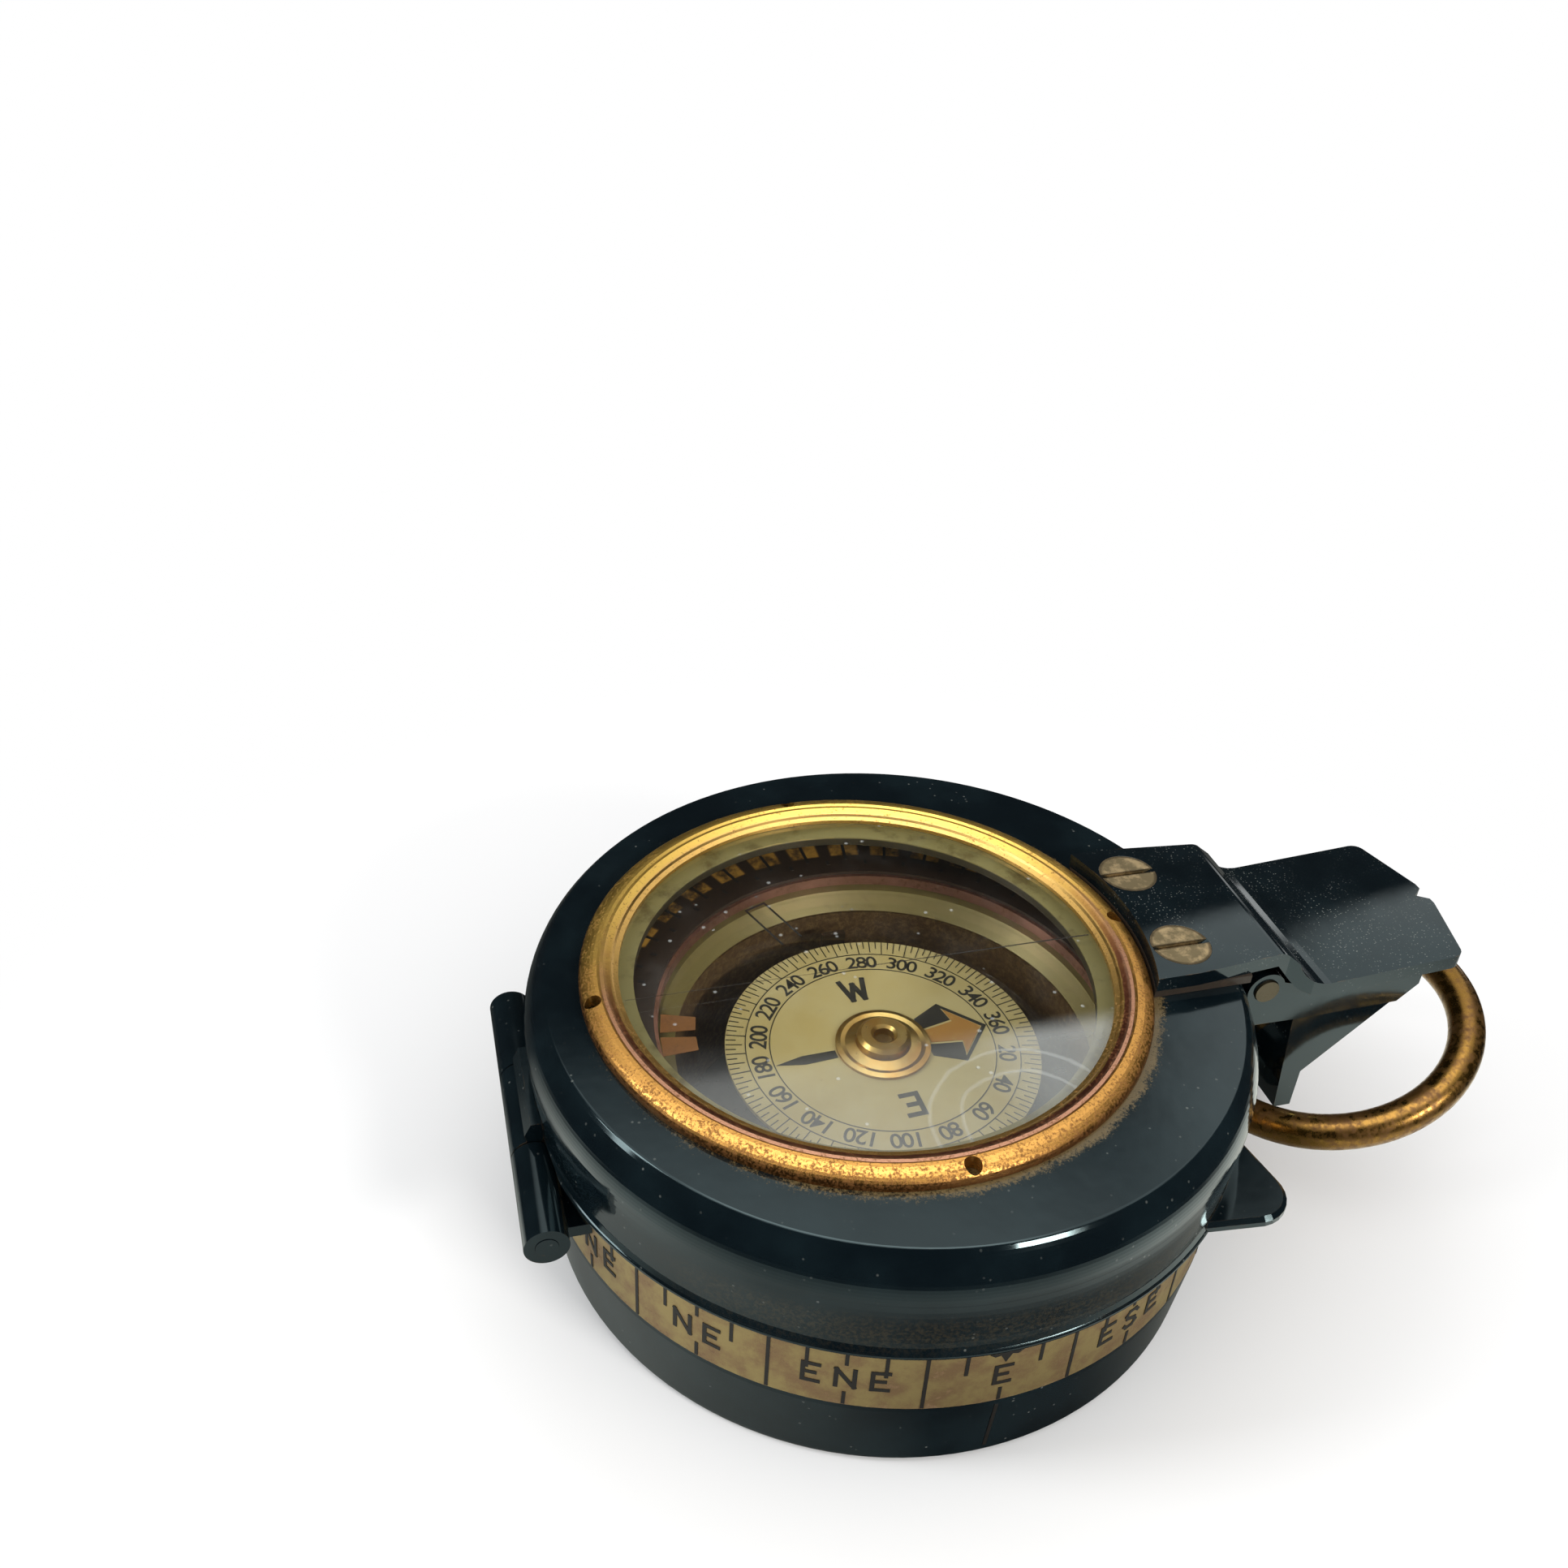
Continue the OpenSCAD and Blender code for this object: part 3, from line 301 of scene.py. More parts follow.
# The lacquer is speckled brown round the brass window ring, and dusty across the front of the lid's wall
haloLook = {
    "reach": (21.2 * mm, 22.9 * mm),
    "height": (22.4 * mm, 22.6 * mm),
    "towards": (0.80, -0.60),
    "evenPart": 0.55,
    "towardsPart": 0.45,
    "grain": (0.20 * mm, 4.0, 0.75, 6.0),
    "patches": (2.5 * mm, 2.0, 0.55, 7.0),
    "patchPart": 0.3,
    "nearPart": 0.45,
    "range": (0.83, 1.05),
    "strength": 0.75,
    "dustLow": (13.5 * mm, 15.5 * mm),
    "dustHigh": (16.5 * mm, 18.5 * mm),
    "dustFront": (14 * mm, 24 * mm),
    "dust": (0.3 * mm, 3.0, 0.75, 12.0),
    "dustRange": (0.42, 0.62),
    "dustStrength": 0.11,
}


def ringHalo(board):
    look = haloLook
    x, y, z = board.split(board.place())
    across = x - windowCentre
    radius = board.length(across, y)
    facing = (across * look["towards"][0] + y * look["towards"][1]) / radius
    near = (1 - board.fade(radius, *look["reach"])) * (look["evenPart"] + facing * look["towardsPart"])
    grain = board.noise(*look["grain"]) + board.noise(*look["patches"]) * look["patchPart"]
    stain = board.fade(grain + near * look["nearPart"], *look["range"])
    stain = stain * board.fade(z, *look["height"]) * look["strength"]
    level = board.fade(z, *look["dustLow"]) * (1 - board.fade(z, *look["dustHigh"]))
    level = level * board.fade(0 - y, *look["dustFront"])
    dust = board.fade(board.noise(*look["dust"]), *look["dustRange"]) * level * look["dustStrength"]
    return stain + dust


# Old brass with a brown-orange bloom
brassLook = {
    "bright": (0.78, 0.52, 0.16),
    "dull": (0.48, 0.26, 0.065),
    "brown": (0.10, 0.042, 0.014),
    "cloudSize": 3.0,  # this and grainSize are times the size that is asked for
    "cloud": (4.0, 0.6),
    "cloudRange": (0.35, 0.65),
    "grainSize": 0.35,
    "grain": (4.0, 0.65, 3.0),
    "grainPart": 0.6,
    "stainRange": (0.66, 0.80),
    "stainReach": (0.22, 0.15),
    "stainStrength": 0.8,
    "roughness": 0.30,
    "stainRoughness": 0.25,
    "grainRoughness": 0.1,
    "stainDullness": 0.35,
}


def brass(name, brownness=0.4, size=1.2 * mm, tint=None, dull=None, roughness=None, grit=0.012 * mm):
    look = brassLook
    material, board = newMaterial(name)
    cloud = board.noise(size * look["cloudSize"], *look["cloud"])
    grain = board.noise(size * look["grainSize"], *look["grain"])
    base = board.mix(board.fade(cloud, *look["cloudRange"]), tint or look["bright"], dull or look["dull"])
    low, high = [limit - reach * brownness for limit, reach in zip(look["stainRange"], look["stainReach"])]
    stain = board.fade(board.blend(look["grainPart"], grain, cloud), low, high)
    base = board.mix(stain * look["stainStrength"], base, look["brown"])
    rough = (roughness or look["roughness"]) + stain * look["stainRoughness"] + grain * look["grainRoughness"]
    metal = 1 - stain * look["stainDullness"]
    bump = board.ripple(grain, grit)
    board.out(board.surface({}, {"Base Color": base, "Roughness": rough, "Normal": bump, "Metallic": metal}))
    return material


# Screw heads: dull grey brass, dark round the rim and in the slot
screwLook = {
    "plain": (0.23, 0.18, 0.095),
    "rubbed": (0.52, 0.39, 0.21),
    "cloud": (1.1 * mm, 4.0, 0.65),
    "cloudRange": (0.42, 0.62),
    "rim": (0.045, 0.032, 0.018),
    "rimBreadth": 0.3 * mm,
    "rimStrength": 0.8,
    "roughness": 0.38,
    "rimRoughness": 0.2,
    "metallic": 0.85,
    "relief": 0.03 * mm,
}


def screwBrass(name):
    look = screwLook
    material, board = newMaterial(name)
    cloud = board.noise(*look["cloud"])
    base = board.mix(board.fade(cloud, *look["cloudRange"]), look["plain"], look["rubbed"])
    rim = board.edges(look["rimBreadth"]) * look["rimStrength"]
    base = board.mix(rim, base, look["rim"])
    rough = look["roughness"] + rim * look["rimRoughness"]
    bump = board.ripple(cloud, look["relief"])
    fixed = {"Metallic": look["metallic"]}
    board.out(board.surface(fixed, {"Base Color": base, "Roughness": rough, "Normal": bump}))
    return material


# The check button: brass outside; where it reaches into the bowl it is painted near-black as the bowl's shade
buttonLook = {
    "black": (0.03, 0.018, 0.009),
    "bright": (0.55, 0.34, 0.10),
    "stain": (0.12, 0.05, 0.018),
    "cloud": (1.3 * mm, 5.0, 0.65),
    "cloudRange": (0.5, 0.68),
    "wall": (24.5 * mm, 25.5 * mm),
    "roughness": 0.32,
    "relief": 0.01 * mm,
}


def buttonBrass(name):
    look = buttonLook
    material, board = newMaterial(name)
    outside = board.fade(board.split(board.place())[1], *look["wall"])
    cloud = board.noise(*look["cloud"])
    metal = board.mix(board.fade(cloud, *look["cloudRange"]), look["bright"], look["stain"])
    # Painted shade: inside the bowl the button is near-black and not metal
    base = board.mix(outside, look["black"], metal)
    bump = board.ripple(cloud, look["relief"])
    fixed = {"Roughness": look["roughness"]}
    board.out(board.surface(fixed, {"Base Color": base, "Metallic": outside, "Normal": bump}))
    return material


# The window ring, by zones from its inner edge out to the lacquer, gritty in front. Painted light: its back
# half is painted brighter and yellower, and its front half orange with a dark groove and a mauve inner slope
ringLook = {
    "back": (0.66, 0.425, 0.095),
    "paintedFront": (0.66, 0.34, 0.085),
    "backRange": (-0.35, 0.55),
    "backWander": 0.6,
    "ledge": (0.62, 0.38, 0.11),
    "groove": (0.24, 0.085, 0.045),
    "mauve": (0.50, 0.26, 0.16),
    "rim": (0.16, 0.065, 0.025),
    "ledgeEnd": (18.95 * mm, 19.07 * mm),
    "grooveEnd": (19.25 * mm, 19.49 * mm),
    "ridge": (19.72 * mm, 19.84 * mm),
    "roll": (19.72 * mm, 21.0 * mm),
    "rimStart": (21.0 * mm, 21.3 * mm),
    "rimStrength": 0.85,
    "cloud": (1.5 * mm, 3.0, 0.55, 8.0),
    "wander": 0.25 * mm,
    "speck": (0.16, 0.065, 0.015),
    "fine": (0.20 * mm, 3.0, 0.7, 3.0),
    "coarse": (1.1 * mm, 4.0, 0.65),
    "finePart": 0.7,
    "rollPart": 0.05,
    "backPart": 0.035,
    "speckRange": (0.50, 0.62),
    "speckStrength": 0.75,
    "roughness": 0.33,
    "speckRoughness": 0.3,
    "speckDullness": 0.3,
    "relief": 0.02 * mm,
}


def windowBrass(name):
    look = ringLook
    material, board = newMaterial(name)
    x, y = board.split(board.place())[:2]
    plain = board.length(x - windowCentre, y)
    cloud = board.noise(*look["cloud"]) - 0.5
    radius = plain + cloud * look["wander"]
    # Painted light: the back side's mask, which makes the back brighter yellow and the front's groove and
    # inner slope darker
    backward = board.fade(y / plain + cloud * look["backWander"], *look["backRange"])
    roll = board.mix(backward, look["paintedFront"], look["back"])
    groove = board.mix(backward, look["groove"], roll)
    slope = board.mix(backward, look["mauve"], roll)
    base = board.mix(board.fade(radius, *look["ledgeEnd"]), look["ledge"], groove)
    base = board.mix(board.fade(radius, *look["grooveEnd"]), base, slope)
    base = board.mix(board.fade(radius, *look["ridge"]), base, roll)
    base = board.mix(board.fade(radius, *look["rimStart"]) * look["rimStrength"], base, look["rim"])
    grain = board.blend(look["finePart"], board.noise(*look["fine"]), board.noise(*look["coarse"]))
    height = grain + board.fade(radius, *look["roll"]) * look["rollPart"] - backward * look["backPart"]
    speck = board.fade(height, *look["speckRange"])
    base = board.mix(speck * look["speckStrength"], base, look["speck"])
    rough = look["roughness"] + speck * look["speckRoughness"]
    metal = 1 - speck * look["speckDullness"]
    bump = board.ripple(grain, look["relief"])
    board.out(board.surface({}, {"Base Color": base, "Roughness": rough, "Normal": bump, "Metallic": metal}))
    return material


# The enamelled seat of the window: olive on top; its inner wall is painted near-black as shade
seatLook = {
    "top": (0.24, 0.21, 0.085),
    "stain": (0.10, 0.07, 0.025),
    "cloud": (2.5 * mm, 5.0, 0.65),
    "stainRange": (0.48, 0.7),
    "stainStrength": 0.8,
    # Painted shade: the colour of the seat's inner wall
    "wall": (0.022, 0.016, 0.007),
    "wallTop": (21.30 * mm, 21.42 * mm),
    "roughness": 0.38,
    "relief": 0.01 * mm,
}


def seatEnamel(name):
    look = seatLook
    material, board = newMaterial(name)
    cloud = board.noise(*look["cloud"])
    stain = board.fade(cloud, *look["stainRange"]) * look["stainStrength"]
    top = board.mix(stain, look["top"], look["stain"])
    # Painted shade: below its top edge the seat's inner wall takes the near-black wall colour
    base = board.mix(board.fade(board.split(board.place())[2], *look["wallTop"]), look["wall"], top)
    bump = board.ripple(cloud, look["relief"])
    board.out(board.surface({"Roughness": look["roughness"]}, {"Base Color": base, "Normal": bump}))
    return material


# The tan band under the lid: half metal, half dirt, darker along its two rims: dirt along the lower rim,
# painted shade of the lid's overhang along the upper one
bandLook = {
    "gold": (0.44, 0.33, 0.14),
    "tan": (0.33, 0.21, 0.105),
    "dirt": (0.10, 0.06, 0.03),
    "cloud": (2.6 * mm, 5.0, 0.65),
    "cloudRange": (0.38, 0.62),
    "grain": (0.35 * mm, 3.0, 0.6, 3.0),
    "grainPart": 0.5,
    "upperShadeRim": (12.2 * mm, 13.1 * mm),
    "lowerRim": (7.2 * mm, 7.7 * mm),
    "rimPart": 0.06,
    "dirtRange": (0.55, 0.68),
    "dirtStrength": 0.65,
    "roughness": 0.38,
    "dirtRoughness": 0.3,
    "metallic": 0.75,
    "dirtDullness": 0.4,
    "relief": 0.015 * mm,
}


def bandMetal(name):
    look = bandLook
    material, board = newMaterial(name)
    cloud = board.noise(*look["cloud"])
    grain = board.noise(*look["grain"])
    base = board.mix(board.fade(cloud, *look["cloudRange"]), look["gold"], look["tan"])
    height = board.split(board.place())[2]
    # Painted shade along the upper rim under the lid, dirt along the lower rim; both are mixed in with the
    # dirt below
    shadeAndDirtRims = board.fade(height, *look["upperShadeRim"]) + (1 - board.fade(height, *look["lowerRim"]))
    dirt = board.blend(look["grainPart"], grain, cloud) + shadeAndDirtRims * look["rimPart"]
    dirt = board.fade(dirt, *look["dirtRange"])
    base = board.mix(dirt * look["dirtStrength"], base, look["dirt"])
    rough = look["roughness"] + dirt * look["dirtRoughness"]
    metal = look["metallic"] - dirt * look["dirtDullness"]
    bump = board.ripple(grain, look["relief"])
    board.out(board.surface({}, {"Base Color": base, "Roughness": rough, "Metallic": metal, "Normal": bump}))
    return material


# Dull paint or enamel with a little dirt
paintLook = {
    "cloud": (5.0, 0.65),
    "grainSize": 0.2,  # times the size that is asked for
    "grain": (3.0, 0.6, 3.0),
    "cloudPart": 0.6,
    "dirtRange": (0.62, 0.75),
    "dirtReach": 0.2,
    "dirtStrength": 0.8,
    "grainRoughness": 0.15,
    "relief": 0.01 * mm,
}


def paint(name, colour, dirt, roughness=0.5, size=2.0 * mm, amount=0.5, metallic=0.0):
    look = paintLook
    material, board = newMaterial(name)
    cloud = board.noise(size, *look["cloud"])
    grain = board.noise(size * look["grainSize"], *look["grain"])
    low, high = look["dirtRange"]
    dirty = board.fade(board.blend(look["cloudPart"], cloud, grain), low - look["dirtReach"] * amount, high)
    base = board.mix(dirty * look["dirtStrength"], colour, dirt)
    rough = roughness + grain * look["grainRoughness"]
    bump = board.ripple(grain, look["relief"])
    board.out(board.surface({"Metallic": metallic}, {"Base Color": base, "Roughness": rough, "Normal": bump}))
    return material


# The annular scale: dark brown with ochre blocks between its ticks
scaleLook = {
    "plate": (0.026, 0.014, 0.007),
    "ochre": (0.52, 0.27, 0.045),
    "blocks": 36,
    "shift": 100.25,  # blocks; the whole ones only keep the sum above 0
    "blockStart": (0.12, 0.2),  # shares of one block
    "blockEnd": (0.8, 0.88),
    "inner": (20.2 * mm, 20.4 * mm),
    "outer": (21.9 * mm, 22.1 * mm),
    "wear": (2.2 * mm, 4.0, 0.7),
    "wearRange": (0.35, 0.62),
    "dirt": (0.10, 0.075, 0.04),
    "speck": (0.4 * mm, 4.0, 0.7, 2.0),
    "speckRange": (0.62, 0.75),
    "speckStrength": 0.5,
    "roughness": 0.45,
    "speckRoughness": 0.2,
}


def scalePaint(name):
    look = scaleLook
    material, board = newMaterial(name)
    x, y = board.split(board.place())[:2]
    radius = board.length(x, y)
    angle = board.add("ShaderNodeMath", {"operation": "ARCTAN2"}, {0: y, 1: x})
    blocks = angle * (look["blocks"] / math.tau) + look["shift"]
    turn = board.add("ShaderNodeMath", {"operation": "FRACT"}, {0: blocks})
    block = board.fade(turn, *look["blockStart"]) * (1 - board.fade(turn, *look["blockEnd"]))
    block = block * board.fade(radius, *look["inner"]) * (1 - board.fade(radius, *look["outer"]))
    wear = board.fade(board.noise(*look["wear"]), *look["wearRange"])
    speck = board.noise(*look["speck"])
    base = board.mix(block * wear, look["plate"], look["ochre"])
    base = board.mix(board.fade(speck, *look["speckRange"]) * look["speckStrength"], base, look["dirt"])
    rough = look["roughness"] + speck * look["speckRoughness"]
    board.out(board.surface({}, {"Base Color": base, "Roughness": rough}))
    return material


# The paper card: cream, browner and dirtier towards its rim
cardLook = {
    "cream": (0.55, 0.45, 0.225),
    "gold": (0.50, 0.385, 0.155),
    "cloud": (6 * mm, 4.0, 0.6),
    "cloudRange": (0.35, 0.7),
    "foxing": (0.28, 0.17, 0.06),
    "fleck": (0.6 * mm, 4.0, 0.7, 2.0),
    "rim": (11.8 * mm, 12.4 * mm),
    "rimPart": 0.15,
    "fleckRange": (0.64, 0.8),
    "fleckStrength": 0.5,
    "roughness": 0.6,
    "fleckRoughness": 0.1,
    "relief": 0.01 * mm,
}


def cardPaper(name):
    look = cardLook
    material, board = newMaterial(name)
    fleck = board.noise(*look["fleck"])
    cloud = board.fade(board.noise(*look["cloud"]), *look["cloudRange"])
    base = board.mix(cloud, look["cream"], look["gold"])
    x, y = board.split(board.place())[:2]
    rim = board.fade(board.length(x, y), *look["rim"])
    foxed = board.fade(fleck + rim * look["rimPart"], *look["fleckRange"]) * look["fleckStrength"]
    base = board.mix(foxed, base, look["foxing"])
    rough = look["roughness"] + fleck * look["fleckRoughness"]
    bump = board.ripple(fleck, look["relief"])
    board.out(board.surface({}, {"Base Color": base, "Roughness": rough, "Normal": bump}))
    return material


# Clear glass that lets light through to what lies under it
glassLook = {
    "tint": (0.98, 0.985, 0.96),
    "index": 1.5,
    "sheenAndMarks": (0.60, 0.63, 0.61),
    "sheenRoughness": 0.8,
}


def glass(name, sheenAndMarks=None):
    look = glassLook
    material, board = newMaterial(name)
    fixed = {"Base Color": look["tint"], "Roughness": 0.0, "IOR": look["index"], "Transmission Weight": 1.0}
    through = board.add("ShaderNodeBsdfTransparent", {}, {0: look["tint"]})
    passing = board.lightPath(["Is Shadow Ray", "Is Diffuse Ray"])
    shader = board.layer(passing, board.surface(fixed, {}), through)
    # The pale layer over the window is painted reflection, with the window's dust and water marks drawn in it
    if sheenAndMarks:
        paintedSheen = board.surface({"Base Color": look["sheenAndMarks"], "Roughness": look["sheenRoughness"]}, {})
        shader = board.layer(sheenAndMarks(board), shader, paintedSheen)
    board.out(shader)
    return material


# Dust on the window, a painted reflection as a dim sheen over its front, brighter at the right, and the rings
# that a drop of water left
sheenAndMarksLook = {
    "topSide": (22.55 * mm, 22.65 * mm),
    "backEdge": (-10.0 * mm, -7.7 * mm),
    "backWander": 1.5 * mm,
    "sheenRising": (1.5 * mm, 7.5 * mm),
    "sheenLow": 0.10,
    "sheenHigh": 0.34,
    "cloud": (4 * mm, 4.0, 0.6, 3.0),
    "evenPart": 0.8,
    "cloudPart": 0.4,
    "dropCentre": (4.1 * mm, -17.2 * mm),
    "dropRadii": (6.7 * mm, 4.7 * mm),
    "dropWander": 1.2 * mm,
    "lineWidth": 0.25 * mm,
    "lineStrength": 0.15,
    "speckSize": 0.7 * mm,
    "speckShare": 0.05,
    "speckSeed": 0.3,
    "speckStrength": 0.3,
    "veilRange": (0.5, 0.8),
    "veilStrength": 0.02,
}


def windowFilm(board):
    look = sheenAndMarksLook
    x, y, z = board.split(board.place())
    cloud = board.noise(*look["cloud"])
    centred = cloud - 0.5
    # Painted reflection: a pale sheen over the front of the window, stronger towards the right
    paintedSheen = look["sheenLow"] + board.fade(x, *look["sheenRising"]) * (look["sheenHigh"] - look["sheenLow"])
    paintedSheen = paintedSheen * (look["evenPart"] + cloud * look["cloudPart"])
    sheenAndMarks = paintedSheen * (1 - board.fade(y + centred * look["backWander"], *look["backEdge"]))
    away = board.length(x - look["dropCentre"][0], y - look["dropCentre"][1]) + centred * look["dropWander"]
    for radius in look["dropRadii"]:
        inner = board.fade(away, radius - look["lineWidth"], radius)
        outer = 1 - board.fade(away, radius, radius + look["lineWidth"])
        sheenAndMarks = sheenAndMarks + inner * outer * look["lineStrength"]
    specks = board.specks(look["speckSize"], look["speckShare"], look["speckSeed"]) * look["speckStrength"]
    veil = board.fade(cloud, *look["veilRange"]) * look["veilStrength"]
    return (sheenAndMarks + specks + veil) * board.fade(z, *look["topSide"])


# The hair line across the window, half rubbed away towards the left
hairLook = {
    "ink": (0.02, 0.015, 0.01),
    "roughness": 0.5,
    "kept": (-8 * mm, 14 * mm),
    "leftStrength": 0.15,
    "rightMore": 0.55,
}


def hairLine(name):
    look = hairLook
    material, board = newMaterial(name)
    along = board.split(board.place())[0]
    kept = look["leftStrength"] + board.fade(along, *look["kept"]) * look["rightMore"]
    line = board.surface({"Base Color": look["ink"], "Roughness": look["roughness"]}, {})
    board.out(board.layer(kept, board.add("ShaderNodeBsdfTransparent"), line))
    return material


# What sets each finish apart, by the name of its material
lacquers = {
    "lacquer": {},
    "lacquerHinge": {"wear": 0.6},
    "lacquerPin": {"wear": 0.4},
    "lacquerLid": {"wear": 0.6, "halo": ringHalo},
    "lacquerGuard": {"wear": 0.6, "dusty": 0.8, "crown": (20.0, -2 * mm)},
    "lacquerLeaf": {"wear": 0.7},
    "lacquerLift": {"wear": 1.0},
    "lacquerPrism": {"wear": 0.7},
}
brasses = {
    "ringBrass": {"brownness": 1.0, "size": 1.6 * mm, "tint": (0.20, 0.11, 0.024),
                  "dull": (0.26, 0.14, 0.035), "roughness": 0.2},
    "capBrass": {"brownness": 0.1, "tint": (0.52, 0.37, 0.14), "roughness": 0.24, "grit": 0.001 * mm},
    "postBrass": {},
    "bushBrass": {"brownness": 0.6},
    "settingBrass": {"brownness": 0.6, "tint": (0.34, 0.17, 0.12), "dull": (0.26, 0.13, 0.085),
                     "roughness": 0.4},
    "milledBrass": {"brownness": 0.5},
    "dullSteel": {"brownness": 0.3, "tint": (0.45, 0.43, 0.40), "roughness": 0.3},
}
paints = {
    "packingBlack": {"colour": (0.03, 0.02, 0.012), "dirt": (0.08, 0.045, 0.02)},
    "pinBrass": {"colour": (0.12, 0.10, 0.06), "dirt": (0.05, 0.035, 0.018), "roughness": 0.42,
                 "size": 0.9 * mm, "amount": 0.6, "metallic": 0.7},
    "bowlBronze": {"colour": (0.075, 0.037, 0.015), "dirt": (0.27, 0.18, 0.075), "size": 0.5 * mm,
                   "amount": 1.0},
    "coneGilt": {"colour": (0.205, 0.16, 0.058), "dirt": (0.13, 0.09, 0.034), "roughness": 0.36,
                 "size": 3 * mm, "amount": 0.4, "metallic": 0.3},
    "jewelStone": {"colour": (0.12, 0.07, 0.025), "dirt": (0.05, 0.03, 0.015), "roughness": 0.3,
                   "size": 1 * mm, "amount": 0.2},
    "inkFilling": {"colour": (0.012, 0.010, 0.008), "dirt": (0.05, 0.035, 0.02), "roughness": 0.45,
                   "size": 1 * mm, "amount": 0.3},
    "luminousPaint": {"colour": (0.42, 0.20, 0.045), "dirt": (0.55, 0.40, 0.14), "roughness": 0.7,
                      "size": 1.4 * mm, "amount": 0.6},
    "patchPaint": {"colour": (0.22, 0.09, 0.022), "dirt": (0.10, 0.04, 0.014), "roughness": 0.7,
                   "size": 0.9 * mm, "amount": 0.8},
}
glasses = {
    "windowGlass": {"sheenAndMarks": windowFilm},
    "dialGlass": {},
    "prismGlass": {},
    "lensGlass": {},
}
singles = {
    "windowBrass": windowBrass,
    "bandMetal": bandMetal,
    "screwBrass": screwBrass,
    "buttonBrass": buttonBrass,
    "scalePaint": scalePaint,
    "seatEnamel": seatEnamel,
    "cardPaper": cardPaper,
    "sightLine": hairLine,
}

# Which nodes of the frame wear each finish
wearers = {
    "lacquer": ["case_shell", "prism_bracket", "ring_lug"],
    "lacquerHinge": ["case_hinge_leaf"],
    "lacquerPin": ["hinge_pin"],
    "lacquerLid": ["lid_shell"],
    "lacquerGuard": ["prism_guard"],
    "lacquerLeaf": ["lid_hinge_leaf"],
    "lacquerLift": ["thumb_lift"],
    "lacquerPrism": ["prism_box"],
    "windowBrass": ["glass_ring"],
    "bandMetal": ["scale_band"],
    "ringBrass": ["carrying_ring"],
    "packingBlack": ["guard_packing"],
    "screwBrass": ["guard_screws"],
    "pinBrass": ["prism_pin"],
    "capBrass": ["card_cap"],
    "postBrass": ["pivot_post"],
    "bushBrass": ["button_bush"],
    "buttonBrass": ["check_button"],
    "settingBrass": ["setting_ring"],
    "milledBrass": ["milled_rim"],
    "bowlBronze": ["bowl_liner"],
    "scalePaint": ["ring_scale"],
    "seatEnamel": ["glass_seat"],
    "coneGilt": ["glass_retainer"],
    "cardPaper": ["card_disc"],
    "windowGlass": ["window_glass"],
    "dialGlass": ["dial_glass"],
    "prismGlass": ["prism_glass"],
    "lensGlass": ["eye_lens"],
    "jewelStone": ["jewel"],
    "inkFilling": ["band_marks", "index_line", "scale_marks", "direction_mark", "card_marks"],
    "sightLine": ["sight_line"],
    "luminousPaint": ["north_mark"],
    "patchPaint": ["luminous_patches"],
    "dullSteel": ["liner_screws", "keeper_wire", "pivot_needle", "bracket_screws", "magnet_bars",
                  "button_spring"],
}


def makeFinishes():
    made = {name: make(name) for name, make in singles.items()}
    for make, looks in ((lacquer, lacquers), (brass, brasses), (paint, paints), (glass, glasses)):
        for name, look in looks.items():
            made[name] = make(name, **look)
    return made


def dressFrame():
    dressed = set()
    for finish, wearing in wearers.items():
        for name in wearing:
            mesh = nodes[name].data
            mesh.materials.clear()
            mesh.materials.append(finishes[finish])
            dressed.add(name)
    missing = sorted(set(nodes) - dressed)
    if missing:
        raise ValueError("no finish for " + ", ".join(missing))


finishes = makeFinishes()
report("finishes made")
dressFrame()
report("frame dressed")


# The figures of the card, every twenty degrees, with their tops outward
figureRing = {
    "radius": 9.12 * mm,  # to the foot of the figures
    "height": 1.45 * mm,
    "fontScale": 1.35,  # the font's size over the height of its figures
    "spacing": 0.86,
    "step": 20,
    "full": 360,
    "cardTurn": 2.7,  # degrees
    "bold": 0.02 * mm,
    "thickness": 0.02 * mm,
    "smoothness": 4,
}


def makeFigures(ring):
    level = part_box("card_disc")[1].z
    parts = []
    for bearing in range(0, ring["full"], ring["step"]):
        curve = bpy.data.curves.new("figure", "FONT")
        curve.body = str(bearing or ring["full"])
        curve.align_x = "CENTER"
        curve.size = ring["height"] * ring["fontScale"]
        curve.space_character = ring["spacing"]
        curve.extrude = ring["thickness"] / 2
        curve.offset = ring["bold"]
        curve.resolution_u = ring["smoothness"]
        part = bpy.data.objects.new("figure", curve)
        scene.collection.objects.link(part)
        angle = math.radians(ring["cardTurn"] - bearing)
        spot = Vector((math.cos(angle), math.sin(angle), 0)) * ring["radius"]
        spot.z = level + ring["thickness"] / 2
        part.matrix_world = Matrix.Translation(spot) @ Matrix.Rotation(angle - math.pi / 2, 4, "Z")
        parts.append(part)
    bpy.context.view_layer.update()
    graph = bpy.context.evaluated_depsgraph_get()
    points, faces = [], []
    for part in parts:
        mesh = part.evaluated_get(graph).to_mesh()
        first = len(points)
        points += [part.matrix_world @ vertex.co for vertex in mesh.vertices]
        faces += [[first + index for index in face.vertices] for face in mesh.polygons]
        bpy.data.objects.remove(part)
    mesh = bpy.data.meshes.new("card_figures")
    mesh.from_pydata(points, [], faces)
    figures = bpy.data.objects.new("card_figures", mesh)
    scene.collection.objects.link(figures)
    mesh.materials.append(finishes["inkFilling"])
    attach(figures, "card")


makeFigures(figureRing)
report("card figures made")


def grey(value):
    return (value, value, value)


def greys(*stops):
    return [(place, grey(value)) for place, value in stops]


